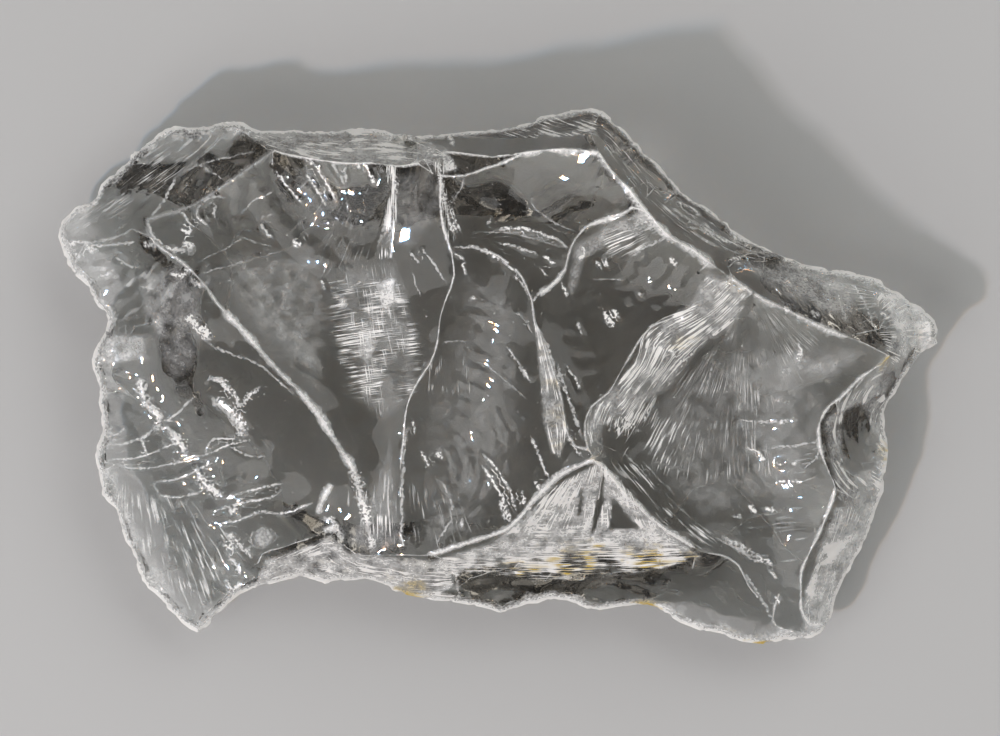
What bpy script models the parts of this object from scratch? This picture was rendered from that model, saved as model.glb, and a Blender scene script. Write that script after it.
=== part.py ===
"""Andara crystal: a hand-sized lump of clear glass, broken all round into hollow scars and sharp ridges.

The lump is one piece. Its upper side and its underside each are a net of ridges with hollow or flat
facets between them, and the two sides meet along the outline, at the belt. The lump lies on a flat
facet in the middle of its underside. Points are in millimetres: x to the right, y away, z up.
"""

import math
import random

import bmesh
import bpy
import numpy
from mathutils import Matrix, Vector, geometry, kdtree

MM = 0.001

# The lump's overall size, to which the points below are fitted.
LENGTH = 132.0
WIDTH = 80.5
HEIGHT = 31.0

RIDGE_STEP = 1.6
TOP_FACET_STEP = 1.9
UNDER_FACET_STEP = 2.8
SNAP = 0.55

EDGE_JAG = 0.22
RIDGE_JAG = 0.12
RIM_WIDTH = 1.0
RIM_RISE = 1.3
RIM_SPREAD = 0.4
RIPPLE_FADE = 3.5
PLAIN_FACET = 0.03
LOOSE_SCATTER = 0.2
LOOSE_CLEARANCE = 0.62
ROW_GAP = 0.95
MERGE_GAP = 0.001
PLAN_PRECISION = 1e-6
SHARP_ANGLE = math.radians(22)
SEED = 11

PALE_SEA_GREEN = (0.66, 0.80, 0.79)
GLASS_ROUGHNESS = 0.08
GLASS_IOR = 1.5

# The belt: the lump's outline seen from above, clockwise from its left tip, with its height.
OUTLINE = [
    (-66, 22.5, 9), (-63.5, 25.5, 10), (-60.5, 27, 11), (-59.5, 29, 11.5), (-55.5, 32.5, 12.5),
    (-55, 33.5, 13), (-52, 35.5, 13.5), (-50, 37.5, 14), (-46.5, 37.5, 14.5), (-43, 38, 15),
    (-39.5, 38.5, 15), (-35.5, 37, 14.5), (-32, 37, 14), (-26, 37, 13.5), (-20, 37.5, 13.5),
    (-14, 36.5, 14), (-8, 36.5, 14), (-2.5, 37, 14), (3.5, 38, 13.5), (8, 39.5, 13),
    (14, 40.5, 12.5), (17, 39, 12.5), (20, 36, 12.5), (23, 33, 12), (27.5, 28, 12), (32, 25, 12),
    (37, 21, 12), (43, 18, 12), (48.5, 16.5, 12), (56, 15, 12), (61, 12, 12), (64.5, 9.5, 12),
    (66, 7, 12), (66, 5, 11.5), (63.5, 3.5, 11), (61.5, 0.5, 10.5), (59.5, -3, 10.5),
    (58, -5.5, 10.5), (58.5, -9.5, 10), (58.5, -13, 10), (58, -17.5, 9.5), (56.5, -21.5, 9),
    (54.5, -26.5, 9), (51.5, -32, 8.5), (50, -37, 8), (48.5, -39, 7.5), (44.5, -40, 7.5),
    (38.5, -40.5, 7.5), (33.5, -39, 8), (29, -38, 8), (26, -36.5, 8), (24, -35, 8), (18, -35, 8),
    (15, -35.5, 8.5), (10.5, -34, 9), (4.5, -34.5, 9), (0.5, -36, 8.5), (-2.5, -35, 9),
    (-9.5, -34, 9), (-14.5, -33, 9), (-18.5, -31, 9), (-23, -31, 9), (-26, -31.5, 9),
    (-29, -30.5, 9), (-34, -31.5, 8.5), (-37.5, -32.5, 8), (-41, -35, 7.5), (-42.5, -36.5, 7),
    (-45, -39, 7), (-47.5, -37.5, 7), (-50.5, -34, 7), (-53.5, -31, 7.5), (-54.5, -28, 8),
    (-56.5, -23.5, 8), (-57.5, -20, 8), (-59.5, -18, 8.5), (-60, -14.5, 8.5), (-60.5, -12, 9),
    (-59.5, -8, 9), (-60, -4, 9), (-60, -1.5, 9), (-61, 2.5, 9.5), (-60, 5, 10),
    (-58.5, 8.5, 10.5), (-60, 10.5, 10.5), (-61.5, 13.5, 10), (-64.5, 16.5, 9.5), (-65.5, 19.5, 9),
]

# Where ridges of the upper side meet.
BAND_END = (-9, 34, 23)
BAND_FOOT = (-8.5, 30, 27)
BAND_CORNER = (-15, 31.5, 25.5)
BAND_TOP = (4, 33.5, 28.5)
NORTH = (15, 33.5, 30.5)
EAST_NOTCH = (21, 26, 31)
SADDLE = (33.5, 15.5, 29)
NOSE = (58.5, 3, 21.5)
APEX = (14.5, -12.5, 28.5)
FORK = (5, 11.5, 27)
CROSS = (-7, 19, 26)
FOOT = (-13.5, -27, 17)
ARC_FOOT = (-18, -27, 16)
LEDGE_END = (30.5, -26.5, 19)
WEST_FORK = (-52.5, 23.5, 17.5)
ARC_JOIN = (-29, -3, 22)
SCOOP_TOP = (49.5, -4.5, 22)
SCOOP_FOOT = (50.5, -17, 20)
STRIP_FOOT = (9, -15, 26)
PEAK = (-24.5, -23, 16)
SPUR = (-35.5, -27, 12.5)
BEVEL_FORK = (23.5, 28.5, 23.5)
BAND_WEST = (-33.5, 34, 19.5)
LEDGE_MID = (-7, -29.5, 13)
CRESCENT = (48, -9.5, 21.5)

TOP_RIDGES = {
    "band edge": [
        (-40.5, 38, 15), (-37.5, 36, 16.5), BAND_WEST, (-29.5, 33, 22.5), (-23, 32, 24.5),
        (-18.5, 32, 25), BAND_CORNER,
    ],
    "band step": [
        BAND_CORNER, (-12, 32, 25), BAND_END,
    ],
    "band crest": [
        (-17, 37, 14), (-13, 35.5, 18.5), BAND_END, (-5.5, 33.5, 26), (-0.5, 33, 27.5), BAND_TOP,
        (9.5, 34, 29.5), NORTH,
    ],
    "band lip": [
        BAND_FOOT, (-5, 30, 27.5), (-2, 31, 28), (1, 32, 28), BAND_TOP,
    ],
    "west bevel": [
        BAND_WEST, (-35.5, 32.5, 20), (-40.5, 29, 19.5), (-46, 25.5, 18.5), WEST_FORK,
        (-57, 21, 15), (-62, 20, 12), (-65.5, 19.5, 9),
    ],
    "west arc": [
        WEST_FORK, (-52, 21, 18), (-50, 19, 18.5), (-47, 17, 19), (-44, 14, 20), (-41.5, 10.5, 21),
        (-38.5, 7.5, 21.5), (-35.5, 4, 22), (-32, 0, 22), ARC_JOIN, (-26, -7, 21.5),
        (-23.5, -11, 21), (-21, -15, 19.5), (-19.5, -19.5, 18), (-18.5, -23.5, 17), ARC_FOOT,
    ],
    "low arc": [
        (-58.5, 8.5, 10.5), (-54.5, 7.5, 13.5), (-50, 8.5, 16), (-46, 8.5, 18), (-44, 6.5, 19),
        (-41.5, 4.5, 19.5), (-38, 3.5, 20.5), (-35.5, 1.5, 21), (-32, -0.5, 21.5), ARC_JOIN,
    ],
    "hinge": [
        BAND_CORNER, (-15, 26.5, 25), (-16, 22.5, 24), (-17, 18, 22.5), (-18, 13, 21.5),
        (-19, 7.5, 21),
    ],
    "spine": [
        BAND_END, (-9, 32, 26), BAND_FOOT, (-8.5, 25.5, 27), (-8, 22, 26.5), CROSS,
        (-6.5, 15, 25.5), (-7.5, 12, 25), (-8.5, 9, 24.5), (-9, 5, 24), (-10, 2, 23.5),
        (-12, -1, 23), (-13.5, -4.5, 22), (-14, -9, 21), (-14.5, -14, 20), (-14.5, -19.5, 18.5),
        (-14.5, -24, 17.5), FOOT,
    ],
    "swell": [
        CROSS, (-4, 19, 25.5), (-1, 18.5, 25.5), (1.5, 17, 25.5), (3.5, 15, 26), FORK,
    ],
    "chip": [
        EAST_NOTCH, (19, 24.5, 30.5), (16.5, 23.5, 29.5), (13.5, 22.5, 29), (11.5, 20.5, 28.5),
        (10.5, 18, 28), (10, 16, 27.5), (8, 13.5, 27), FORK,
    ],
    "strip west": [
        FORK, (5.5, 8, 26.5), (6, 4, 26), (6.5, -1.5, 26), (6.5, -6.5, 25.5), (7.5, -11, 25.5),
        STRIP_FOOT,
    ],
    "strip east": [
        FORK, (6.5, 6.5, 26.5), (8, 1.5, 26.5), (9.5, -3.5, 26.5), (10, -7.5, 27),
        (11.5, -10.5, 27.5), APEX,
    ],
    "north ridge": [
        NORTH, (17, 30.5, 31), (19.5, 28, 31), EAST_NOTCH, (23.5, 23, 30.5), (26, 20.5, 30.5),
        (29, 19, 30), (31.5, 17, 29.5), SADDLE, (36.5, 13.5, 28), (39.5, 11.5, 27), (43, 10, 26),
        (47, 8, 25), (50.5, 6.5, 24), (54.5, 5, 22.5), NOSE,
    ],
    "north step": [
        NORTH, (14, 36, 26.5), (14, 37.5, 20.5), (15, 39, 15), (14.5, 40.5, 12.5),
    ],
    "bevel loop": [
        (20, 36, 12.5), (19.5, 34.5, 17), (20, 32, 20.5), (21.5, 30, 22.5), BEVEL_FORK,
    ],
    "bevel arris": [
        BEVEL_FORK, (26, 25, 23.5), (30, 22.5, 23), (34, 20, 22), (38, 18.5, 20.5),
    ],
    "bevel foot": [
        BEVEL_FORK, (25.5, 27.5, 19), (27.5, 28, 12),
    ],
    "lens edge": [
        SADDLE, (35, 17, 26.5), (36.5, 18, 23), (38, 18.5, 20.5), (40, 18, 18.5), (42.5, 18, 16),
        (45, 17, 13), (46.5, 16.5, 12),
    ],
    "nose crust": [
        NOSE, (57, 6, 20), (57.5, 8, 18), (59.5, 10, 15), (61, 12, 12),
    ],
    "nose foot": [
        NOSE, (61, 3, 16.5), (63.5, 3.5, 11),
    ],
    "bowl west": [
        SADDLE, (32, 13.5, 27.5), (30, 11.5, 26.5), (28, 9.5, 26), (25.5, 8.5, 25.5),
        (23, 7.5, 25.5), (21.5, 6, 25.5), (20, 3.5, 25.5), (18.5, 1, 26), (16.5, -2.5, 26.5),
        (14, -4.5, 27), (13, -7, 27.5), (13, -9, 28), (13.5, -11, 28.5), APEX,
    ],
    "bowl south": [
        APEX, (16.5, -14.5, 27), (18.5, -17, 25.5), (21, -19.5, 24), (23, -21.5, 22.5),
        (25.5, -23.5, 21), (28, -25, 20), LEDGE_END, (33.5, -27, 17.5), (36, -28.5, 16),
        (37.5, -31.5, 14.5), (39, -33.5, 13), (40.5, -36, 11), (42, -38, 9), (43, -40, 7.5),
    ],
    "bowl east": [
        NOSE, (57, 1.5, 21.5), (54.5, 0, 21.5), (52.5, -2, 22), (51, -3.5, 22), SCOOP_TOP,
        (48, -7, 22), CRESCENT, (48.5, -12, 21), (49.5, -14.5, 20.5), SCOOP_FOOT, (50, -19, 19),
        (49, -21.5, 18.5), (48, -24, 18), (46.5, -27, 17), (45.5, -29.5, 15.5), (45.5, -32, 14.5),
        (45.5, -35, 12.5), (46.5, -37, 10.5), (48.5, -39, 7.5),
    ],
    "fan brow": [
        (36.5, 11.5, 27), (33.5, 9.5, 25.5), (31, 7, 24.5), (28.5, 4.5, 24), (25, 3, 24),
        (22.5, 0.5, 24), (21, -2, 24.5), (19.5, -4.5, 24.5), (18.5, -7, 25), (17, -9.5, 26),
    ],
    "fan foot": [
        (38, 10, 24.5), (35.5, 7.5, 23), (33, 5, 21.5), (30, 2.5, 20.5), (27, 0, 20.5),
        (24.5, -2.5, 21), (23.5, -4.5, 21), (23, -7, 21), (21, -10, 22), (19, -12, 23.5),
    ],
    "gash": [
        (15.5, -15, 24.5), (15, -18.5, 21), (14, -23, 17.5),
    ],
    "scoop head": [
        SCOOP_TOP, (51.5, -3.5, 20), (54, -4, 17), (56, -5, 13.5), (58, -6, 10.5),
    ],
    "scoop heel": [
        SCOOP_FOOT, (52.5, -18, 16.5), (54.5, -19, 13), (57, -19, 9.5),
    ],
    "crescent edge": [
        CRESCENT, (50.5, -12.5, 18), (52.5, -14.5, 15.5), (55.5, -16, 12.5), (58.5, -16, 9.5),
    ],
    "ledge brow": [
        APEX, (12, -13.5, 27), STRIP_FOOT, (7, -17, 24.5), (5, -19, 23.5), (3.5, -21, 22.5),
        (1.5, -23, 21.5), (-1, -24, 20.5), (-4, -25, 19.5), (-7, -26, 18.5), (-10, -27, 17.5),
        FOOT, ARC_FOOT, (-21, -27, 15), (-23, -25.5, 15.5), PEAK, (-27, -24, 15.5),
        (-29.5, -25, 15), (-32.5, -26, 14), SPUR, (-36, -29.5, 10.5), (-37.5, -32.5, 8),
    ],
    "ledge shelf": [
        FOOT, (-8.5, -27.5, 16), (-4, -27, 16.5), (0.5, -26.5, 17), (5, -25.5, 17.5),
        (11, -24, 18), (17, -23, 18), (23, -23.5, 18.5), (27.5, -25.5, 19), LEDGE_END,
    ],
    "ledge foot": [
        LEDGE_END, (27.5, -28, 15.5), (22, -29, 14), (15.5, -30, 13), (9.5, -30, 13),
        (3.5, -29.5, 13), (-1, -29.5, 13), (-4, -30.5, 12.5), LEDGE_MID, (-8, -32, 11),
        (-10, -33.5, 9),
    ],
    "ledge rib": [
        LEDGE_MID, (-6, -32, 10.5), (-6, -34.5, 9),
    ],
    "spur rib": [
        SPUR, (-32, -28, 12), (-29, -29, 10.5), (-26, -31.5, 9),
    ],
}

# A facet of the upper side: a point in it, its hollowness in 1/mm, and its ripples as the point
# that they spread from, the distance between crests and their height, or None.
TOP_FACETS = {
    "west bevel": ((-53.5, 28.5), 0.01, None),
    "west block": ((-56.5, 14.5), 0.08, None),
    "west scar": ((-47.5, -15.5), 0.047, ((-62, 0), 6.5, 0.22)),
    "long face": ((-32.5, 11.5), 0.045, ((-15, 40), 7.5, 0.2)),
    "north face": ((6.5, 28), 0.075, ((15, 38), 6.0, 0.2)),
    "heart face": ((-4, -3.5), 0.068, ((-8, 22), 7.0, 0.15)),
    "strip": ((8, -6.5), 0.2, None),
    "right face": ((21.5, 11.5), 0.085, ((14, 24), 5.5, 0.16)),
    "bowl": ((33.5, -9.5), 0.061, ((33.5, 18), 6.0, 0.24)),
    "brow": ((14, -18.5), 0.06, None),
    "shelf": ((9.5, -27.5), 0.15, None),
    "ledge": ((15.5, -32.5), 0.1, None),
    "north band": ((-23.5, 34.5), 0.15, None),
    "north wall": ((2, 35.5), 0.2, None),
    "lip": ((-2.5, 31.5), 0.1, None),
    "north corner": ((17, 34.5), 0.12, None),
    "loop": ((23.5, 31), 0.2, None),
    "inner bevel": ((29, 20.5), 0.15, None),
    "outer bevel": ((31, 23), 0.15, None),
    "lens": ((48.5, 12), 0.12, None),
    "crust": ((61, 7), 0.05, None),
    "nose wall": ((57.5, -1.5), 0.12, None),
    "scoop": ((55, -11), 0.18, None),
    "scoop foot": ((53, -17), 0.15, None),
    "east wall": ((51.5, -27.5), 0.15, None),
    "spur": ((-29.5, -27), 0.1, None),
}

# The corners of the flat facet that the lump lies on, and where two ridges of the underside meet.
SEAT_A = (-39, 17, 0)
SEAT_B = (-25, 24.5, 0)
SEAT_C = (-4, 25.5, 0)
SEAT_D = (16, 22.5, 0)
SEAT_E = (29, 12, 0)
SEAT_F = (37, -1.5, 0)
SEAT_G = (32.5, -14.5, 0)
SEAT_H = (21.5, -22, 0)
SEAT_I = (1, -23.5, 0)
SEAT_J = (-16.5, -21, 0)
SEAT_K = (-32, -12.5, 0)
SEAT_L = (-43.5, -1, 0)
HEEL = (-39, -20.5, 2.5)

UNDER_RIDGES = {
    "seat edge": [
        SEAT_A, (-31.5, 19.5, 0), SEAT_B, (-14.5, 24, 0), SEAT_C, (6.5, 23, 0), SEAT_D,
        (21.5, 16, 0), SEAT_E, (31.5, 4.5, 0), SEAT_F, (33.5, -8.5, 0), SEAT_G, (27.5, -17.5, 0),
        SEAT_H, (11.5, -21.5, 0), SEAT_I, (-7.5, -21, 0), SEAT_J, (-23.5, -20.5, 0),
        (-29.5, -18.5, 0), SEAT_K, (-37.5, -8.5, 0), (-40.5, -4, 0), SEAT_L, (-42, 8.5, 0), SEAT_A,
    ],
    "north west": [
        SEAT_A, (-45, 23, 3), (-52, 27, 6.5), (-59.5, 29, 11.5),
    ],
    "north rib": [
        SEAT_B, (-26.5, 29, 4), (-28.5, 33, 8.5), (-28, 37, 13.5),
    ],
    "north east": [
        SEAT_D, (17.5, 27.5, 3.5), (19, 32, 7.5), (20, 36, 12.5),
    ],
    "east rib": [
        SEAT_E, (34, 14.5, 3.5), (39, 16.5, 7), (43, 18, 12),
    ],
    "nose rib": [
        SEAT_F, (46, -1, 3), (54.5, 0.5, 6.5), (61.5, 0.5, 10.5),
    ],
    "south east": [
        SEAT_G, (39.5, -20.5, 2.5), (46.5, -26.5, 5), (53, -29.5, 8.5),
    ],
    "south rib": [
        SEAT_I, (2, -28, 3), (1.5, -32, 6), (0.5, -36, 8.5),
    ],
    "south west": [
        SEAT_J, (-19.5, -25.5, 3.5), (-22, -28.5, 6), (-23, -31, 9),
    ],
    "tail rib": [
        SEAT_K, (-35.5, -16.5, 1), HEEL, (-41.5, -25.5, 3.5), (-43, -32, 5), (-45, -39, 7),
    ],
    "west rib": [
        (-60, -1.5, 9), (-56.5, 0.5, 7.5), (-52.5, -0.5, 6), (-52, -4.5, 5), (-49, -9, 4),
        (-46, -12.5, 3.5), (-43, -16.5, 3), HEEL,
    ],
}

# A facet of the underside, in the same way; it is hollow upwards, so its number is below zero.
UNDER_FACETS = {
    "seat": ((0, 0), 0.0, None),
    "west hollow": ((-50, 12), -0.06, None),
    "north-west hollow": ((-38, 28), -0.07, None),
    "north hollow": ((-6, 31), -0.08, None),
    "north-east hollow": ((26, 24), -0.07, None),
    "east hollow": ((48, 6), -0.06, None),
    "south-east hollow": ((46, -14), -0.05, None),
    "south hollow": ((22, -30), -0.05, None),
    "south-west hollow": ((-8, -28), -0.08, None),
    "tail hollow": ((-30, -26), -0.06, None),
    "heel hollow": ((-48, -16), -0.04, None),
}


def clear_scene():
    """Take out whatever objects the file opened with."""
    for thing in list(bpy.data.objects):
        bpy.data.objects.remove(thing, do_unlink=True)


def curve_through(points, closed=False):
    """Return points about RIDGE_STEP apart on a smooth curve through the given ones."""
    points = [Vector(point) for point in points]
    last = len(points) - 1
    path = []
    for index in range(last + 1 if closed else last):
        start = points[index]
        end = points[index + 1 if index < last else 0]
        before = points[index - 1] if index or closed else start
        after = points[(index + 2) % (last + 1)] if index + 2 <= last or closed else end
        reach = (end - start).length / 3
        leave = start + (end - before).normalized() * reach
        arrive = end - (after - start).normalized() * reach
        pieces = max(1, round(3 * reach / RIDGE_STEP))
        path += geometry.interpolate_bezier(start, leave, arrive, end, pieces + 1)[:-1]
    if not closed:
        path.append(points[-1])
    return path


def inward(path, index):
    """Return the level direction that points into a clockwise closed path at one of its points."""
    along = path[(index + 1) % len(path)] - path[index - 1]
    return Vector((along.y, -along.x, 0)).normalized()


def belt_path(chance):
    """Return the outline with the small jags of a broken edge."""
    smooth = curve_through(OUTLINE, closed=True)
    jags = [inward(smooth, index) * chance.uniform(-EDGE_JAG, EDGE_JAG) for index in range(len(smooth))]
    corners = {tuple(corner) for corner in OUTLINE}
    return [
        point if tuple(round(part, 3) for part in point) in corners else point + jag
        for point, jag in zip(smooth, jags)
    ]


def rim_path(belt, rise, chance):
    """Return the line where the blunt, chipped rim turns into the facets."""
    path = []
    for index, point in enumerate(belt):
        spread = 1 + chance.uniform(-RIM_SPREAD, RIM_SPREAD)
        path.append(point + inward(belt, index) * RIM_WIDTH * spread + Vector((0, 0, rise * spread)))
    return path


class Plan:
    """The plan of one side: points, the heights of those on a ridge, and the lines between them."""

    def __init__(self):
        self.points = []
        self.heights = []
        self.lines = []

    def place(self, point):
        """Return the number of the point at this place, adding one where none is near."""
        flat = Vector(point[:2])
        near = [number for number, other in enumerate(self.points) if (other - flat).length < SNAP]
        if near:
            return min(near, key=lambda number: (self.points[number] - flat).length)
        self.points.append(flat)
        self.heights.append(point[2])
        return len(self.points) - 1

    def draw(self, path, closed=False):
        """Add a path as a chain of lines."""
        numbers = [self.place(point) for point in path]
        if closed:
            numbers.append(numbers[0])
        for start, end in zip(numbers, numbers[1:]):
            if start != end:
                self.lines.append((start, end))
        return numbers

    def fill(self, step, chance):
        """Scatter loose points over the plan, clear of the ones on ridges."""
        tree = kdtree.KDTree(len(self.points))
        for number, point in enumerate(self.points):
            tree.insert(point.to_3d(), number)
        tree.balance()
        for row in range(int(WIDTH / step) + 2):
            for column in range(int(LENGTH / step) + 2):
                scatter = Vector((chance.uniform(-1, 1), chance.uniform(-1, 1))) * LOOSE_SCATTER
                place = Vector((column + row % 2 / 2, row * ROW_GAP)) + scatter
                point = place * step - Vector((LENGTH, WIDTH)) / 2
                if tree.find(point.to_3d())[2] > LOOSE_CLEARANCE * step:
                    self.points.append(point)
                    self.heights.append(None)


def draw_side(belt, ridges, rise, step, chance):
    """Return the plan of one side, and the numbers of its belt's points."""
    plan = Plan()
    belt_numbers = plan.draw(belt, closed=True)
    plan.draw(rim_path(belt, rise, chance), closed=True)
    for points in ridges.values():
        path = curve_through(points)
        jagged = [point + Vector((0, 0, chance.uniform(-RIDGE_JAG, RIDGE_JAG))) for point in path]
        plan.draw([point if point.z == 0 else jag for point, jag in zip(path, jagged)])
    plan.fill(step, chance)
    return plan, belt_numbers[:-1]


def facet_numbers(points, triangles, ridge_edges, facets):
    """Return which facet each triangle is in, spreading from each facet's point up to its ridges."""
    beside = {}
    for number, triangle in enumerate(triangles):
        for start, end in zip(triangle, triangle[1:] + triangle[:1]):
            beside.setdefault(frozenset((start, end)), []).append(number)
    inside = [None] * len(triangles)
    for name, (place, _, _) in facets.items():
        spreading = [
            number for number, triangle in enumerate(triangles)
            if geometry.intersect_point_tri_2d(place, *(points[corner] for corner in triangle))
        ]
        while spreading:
            number = spreading.pop()
            if inside[number] is not None:
                continue
            inside[number] = name
            triangle = triangles[number]
            for start, end in zip(triangle, triangle[1:] + triangle[:1]):
                edge = frozenset((start, end))
                if edge not in ridge_edges:
                    spreading += beside[edge]
    return inside


def settle(points, heights, edges, bows):
    """Return every point's height: a skin stretched between the ridges, bowed where it is hollow."""
    count = len(points)
    pull = numpy.zeros((count, count))
    load = numpy.zeros(count)
    for start, end in edges:
        weight = 1 / (points[start] - points[end]).length_squared
        pull[start, start] += weight
        pull[end, end] += weight
        pull[start, end] -= weight
        pull[end, start] -= weight
        load[start] -= bows[start] / 4
        load[end] -= bows[end] / 4
    for number, height in enumerate(heights):
        if height is not None:
            pull[number] = 0
            pull[number, number] = 1
            load[number] = height
    return numpy.linalg.solve(pull, load)


def ripple(point, ripples, clearance):
    """Return the height that a facet's ripples add at a point, less near its ridges."""
    if ripples is None:
        return 0.0
    source, crest_gap, crest_height = ripples
    distance = (point - Vector(source)).length
    return crest_height * math.sin(math.tau * distance / crest_gap) * min(1, clearance / RIPPLE_FADE)


def side_surface(belt, ridges, facets, rise, step, plain, chance):
    """Return the points and triangles of one side."""
    plan, belt_numbers = draw_side(belt, ridges, rise, step, chance)
    points, edges, triangles, old_points, old_edges, _ = geometry.delaunay_2d_cdt(
        plan.points, plan.lines, [belt_numbers], 1, PLAN_PRECISION)
    triangles = [list(triangle) for triangle in triangles]
    heights = [plan.heights[old[0]] if old else None for old in old_points]
    for number in set(range(len(points))).difference(*triangles):
        heights[number] = 0.0
    ridge_edges = {frozenset(edge) for edge, old in zip(edges, old_edges) if old}
    inside = facet_numbers(points, triangles, ridge_edges, facets)
    bows = [plain] * len(points)
    ripples = [None] * len(points)
    for triangle, name in zip(triangles, inside):
        if name is not None:
            for corner in triangle:
                bows[corner], ripples[corner] = facets[name][1:]
    settled = settle(points, heights, edges, bows)
    tree = kdtree.KDTree(len(points))
    for number, point in enumerate(points):
        if heights[number] is not None:
            tree.insert(point.to_3d(), number)
    tree.balance()
    solid = []
    for number, point in enumerate(points):
        height = round(float(settled[number]), 4)
        if heights[number] is None:
            height += ripple(point, ripples[number], tree.find(point.to_3d())[2])
        solid.append(Vector((point.x, point.y, height)))
    return solid, triangles


def add_side(lump, points, triangles):
    """Add one side's triangles to the lump, without the points outside its belt."""
    corners = {number: lump.verts.new(points[number]) for number in set().union(*triangles)}
    for triangle in triangles:
        lump.faces.new([corners[number] for number in triangle])


def fit_to_size(lump):
    """Bring the lump to its overall size, centred in plan, with its flat facet at the origin's level."""
    low = Vector([min(vertex.co[axis] for vertex in lump.verts) for axis in range(3)])
    high = Vector([max(vertex.co[axis] for vertex in lump.verts) for axis in range(3)])
    centre = Vector(((low.x + high.x) / 2, (low.y + high.y) / 2, low.z))
    size = high - low
    scale = Matrix.Diagonal((LENGTH * MM / size.x, WIDTH * MM / size.y, HEIGHT * MM / size.z, 1))
    bmesh.ops.transform(lump, matrix=scale @ Matrix.Translation(-centre), verts=lump.verts)


def glass_material():
    """Return the clear, faintly sea-green glass."""
    material = bpy.data.materials.new("clear glass")
    material.use_nodes = True
    shader = material.node_tree.nodes["Principled BSDF"]
    shader.inputs["Base Color"].default_value = (*PALE_SEA_GREEN, 1)
    shader.inputs["Roughness"].default_value = GLASS_ROUGHNESS
    shader.inputs["Metallic"].default_value = 0
    shader.inputs["IOR"].default_value = GLASS_IOR
    shader.inputs["Transmission Weight"].default_value = 1
    return material


def build_crystal(collection):
    """Model the lump as one closed solid."""
    chance = random.Random(SEED)
    belt = belt_path(chance)
    lump = bmesh.new()
    top = side_surface(belt, TOP_RIDGES, TOP_FACETS, RIM_RISE, TOP_FACET_STEP, PLAIN_FACET, chance)
    under = side_surface(belt, UNDER_RIDGES, UNDER_FACETS, -RIM_RISE, UNDER_FACET_STEP, -PLAIN_FACET, chance)
    add_side(lump, *top)
    add_side(lump, *under)
    bmesh.ops.remove_doubles(lump, verts=lump.verts, dist=MERGE_GAP)
    bmesh.ops.recalc_face_normals(lump, faces=lump.faces)
    fit_to_size(lump)
    mesh = bpy.data.meshes.new("andara_crystal")
    lump.to_mesh(mesh)
    lump.free()
    mesh.shade_smooth()
    mesh.set_sharp_from_angle(angle=SHARP_ANGLE)
    mesh.materials.append(glass_material())
    collection.objects.link(bpy.data.objects.new("andara_crystal", mesh))


def main():
    """Build the crystal in a collection of its own."""
    clear_scene()
    collection = bpy.data.collections.new("andara crystal")
    bpy.context.scene.collection.children.link(collection)
    build_crystal(collection)


main()
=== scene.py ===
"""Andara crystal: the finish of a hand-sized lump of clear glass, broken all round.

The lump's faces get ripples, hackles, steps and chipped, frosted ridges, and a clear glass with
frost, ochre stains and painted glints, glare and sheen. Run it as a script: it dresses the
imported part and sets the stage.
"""

import heapq
import math

import bmesh
import bpy
import numpy as np
from bpy.props import FloatProperty, FloatVectorProperty, IntProperty, PointerProperty
from bpy.types import Operator, Panel, PropertyGroup
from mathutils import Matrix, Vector, kdtree, noise


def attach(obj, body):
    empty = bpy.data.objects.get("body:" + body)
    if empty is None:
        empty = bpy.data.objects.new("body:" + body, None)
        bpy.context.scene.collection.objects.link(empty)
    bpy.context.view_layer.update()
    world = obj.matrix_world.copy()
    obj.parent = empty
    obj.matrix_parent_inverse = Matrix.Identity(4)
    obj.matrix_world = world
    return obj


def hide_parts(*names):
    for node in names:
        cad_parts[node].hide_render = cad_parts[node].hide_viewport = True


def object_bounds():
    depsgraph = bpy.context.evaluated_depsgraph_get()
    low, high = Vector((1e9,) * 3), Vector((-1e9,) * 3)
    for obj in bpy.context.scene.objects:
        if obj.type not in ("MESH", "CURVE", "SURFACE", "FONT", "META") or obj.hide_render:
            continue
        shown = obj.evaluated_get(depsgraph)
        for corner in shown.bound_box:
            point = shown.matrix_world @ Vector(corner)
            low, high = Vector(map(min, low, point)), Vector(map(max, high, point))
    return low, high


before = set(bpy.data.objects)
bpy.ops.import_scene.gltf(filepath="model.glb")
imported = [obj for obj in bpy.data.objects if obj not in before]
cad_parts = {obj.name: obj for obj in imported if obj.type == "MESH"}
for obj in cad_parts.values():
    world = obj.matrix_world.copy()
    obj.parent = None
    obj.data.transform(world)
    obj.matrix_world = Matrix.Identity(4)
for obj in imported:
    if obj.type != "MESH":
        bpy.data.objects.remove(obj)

bl_info = {
    "name": "Andara Crystal",
    "version": (1, 0, 0),
    "blender": (4, 5, 0),
    "location": "3D View > Sidebar > Crystal",
    "description": "Dresses a broken lump of clear glass and sets a plain studio around it",
    "category": "Object",
}

MM = 0.001
TINY = 0.001  # a length too small to matter, in millimetres
NODE = "andara_crystal"
CAD_LOW, CAD_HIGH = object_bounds()

# In the tables below, a place is an x and a y in tenths of a millimetre, seen from above, and a
# line or a region is a run of them. Widths, heights and margins are in millimetres. Each is on the
# upper side (UP) or underneath (DOWN).
UP, DOWN = True, False

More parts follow.
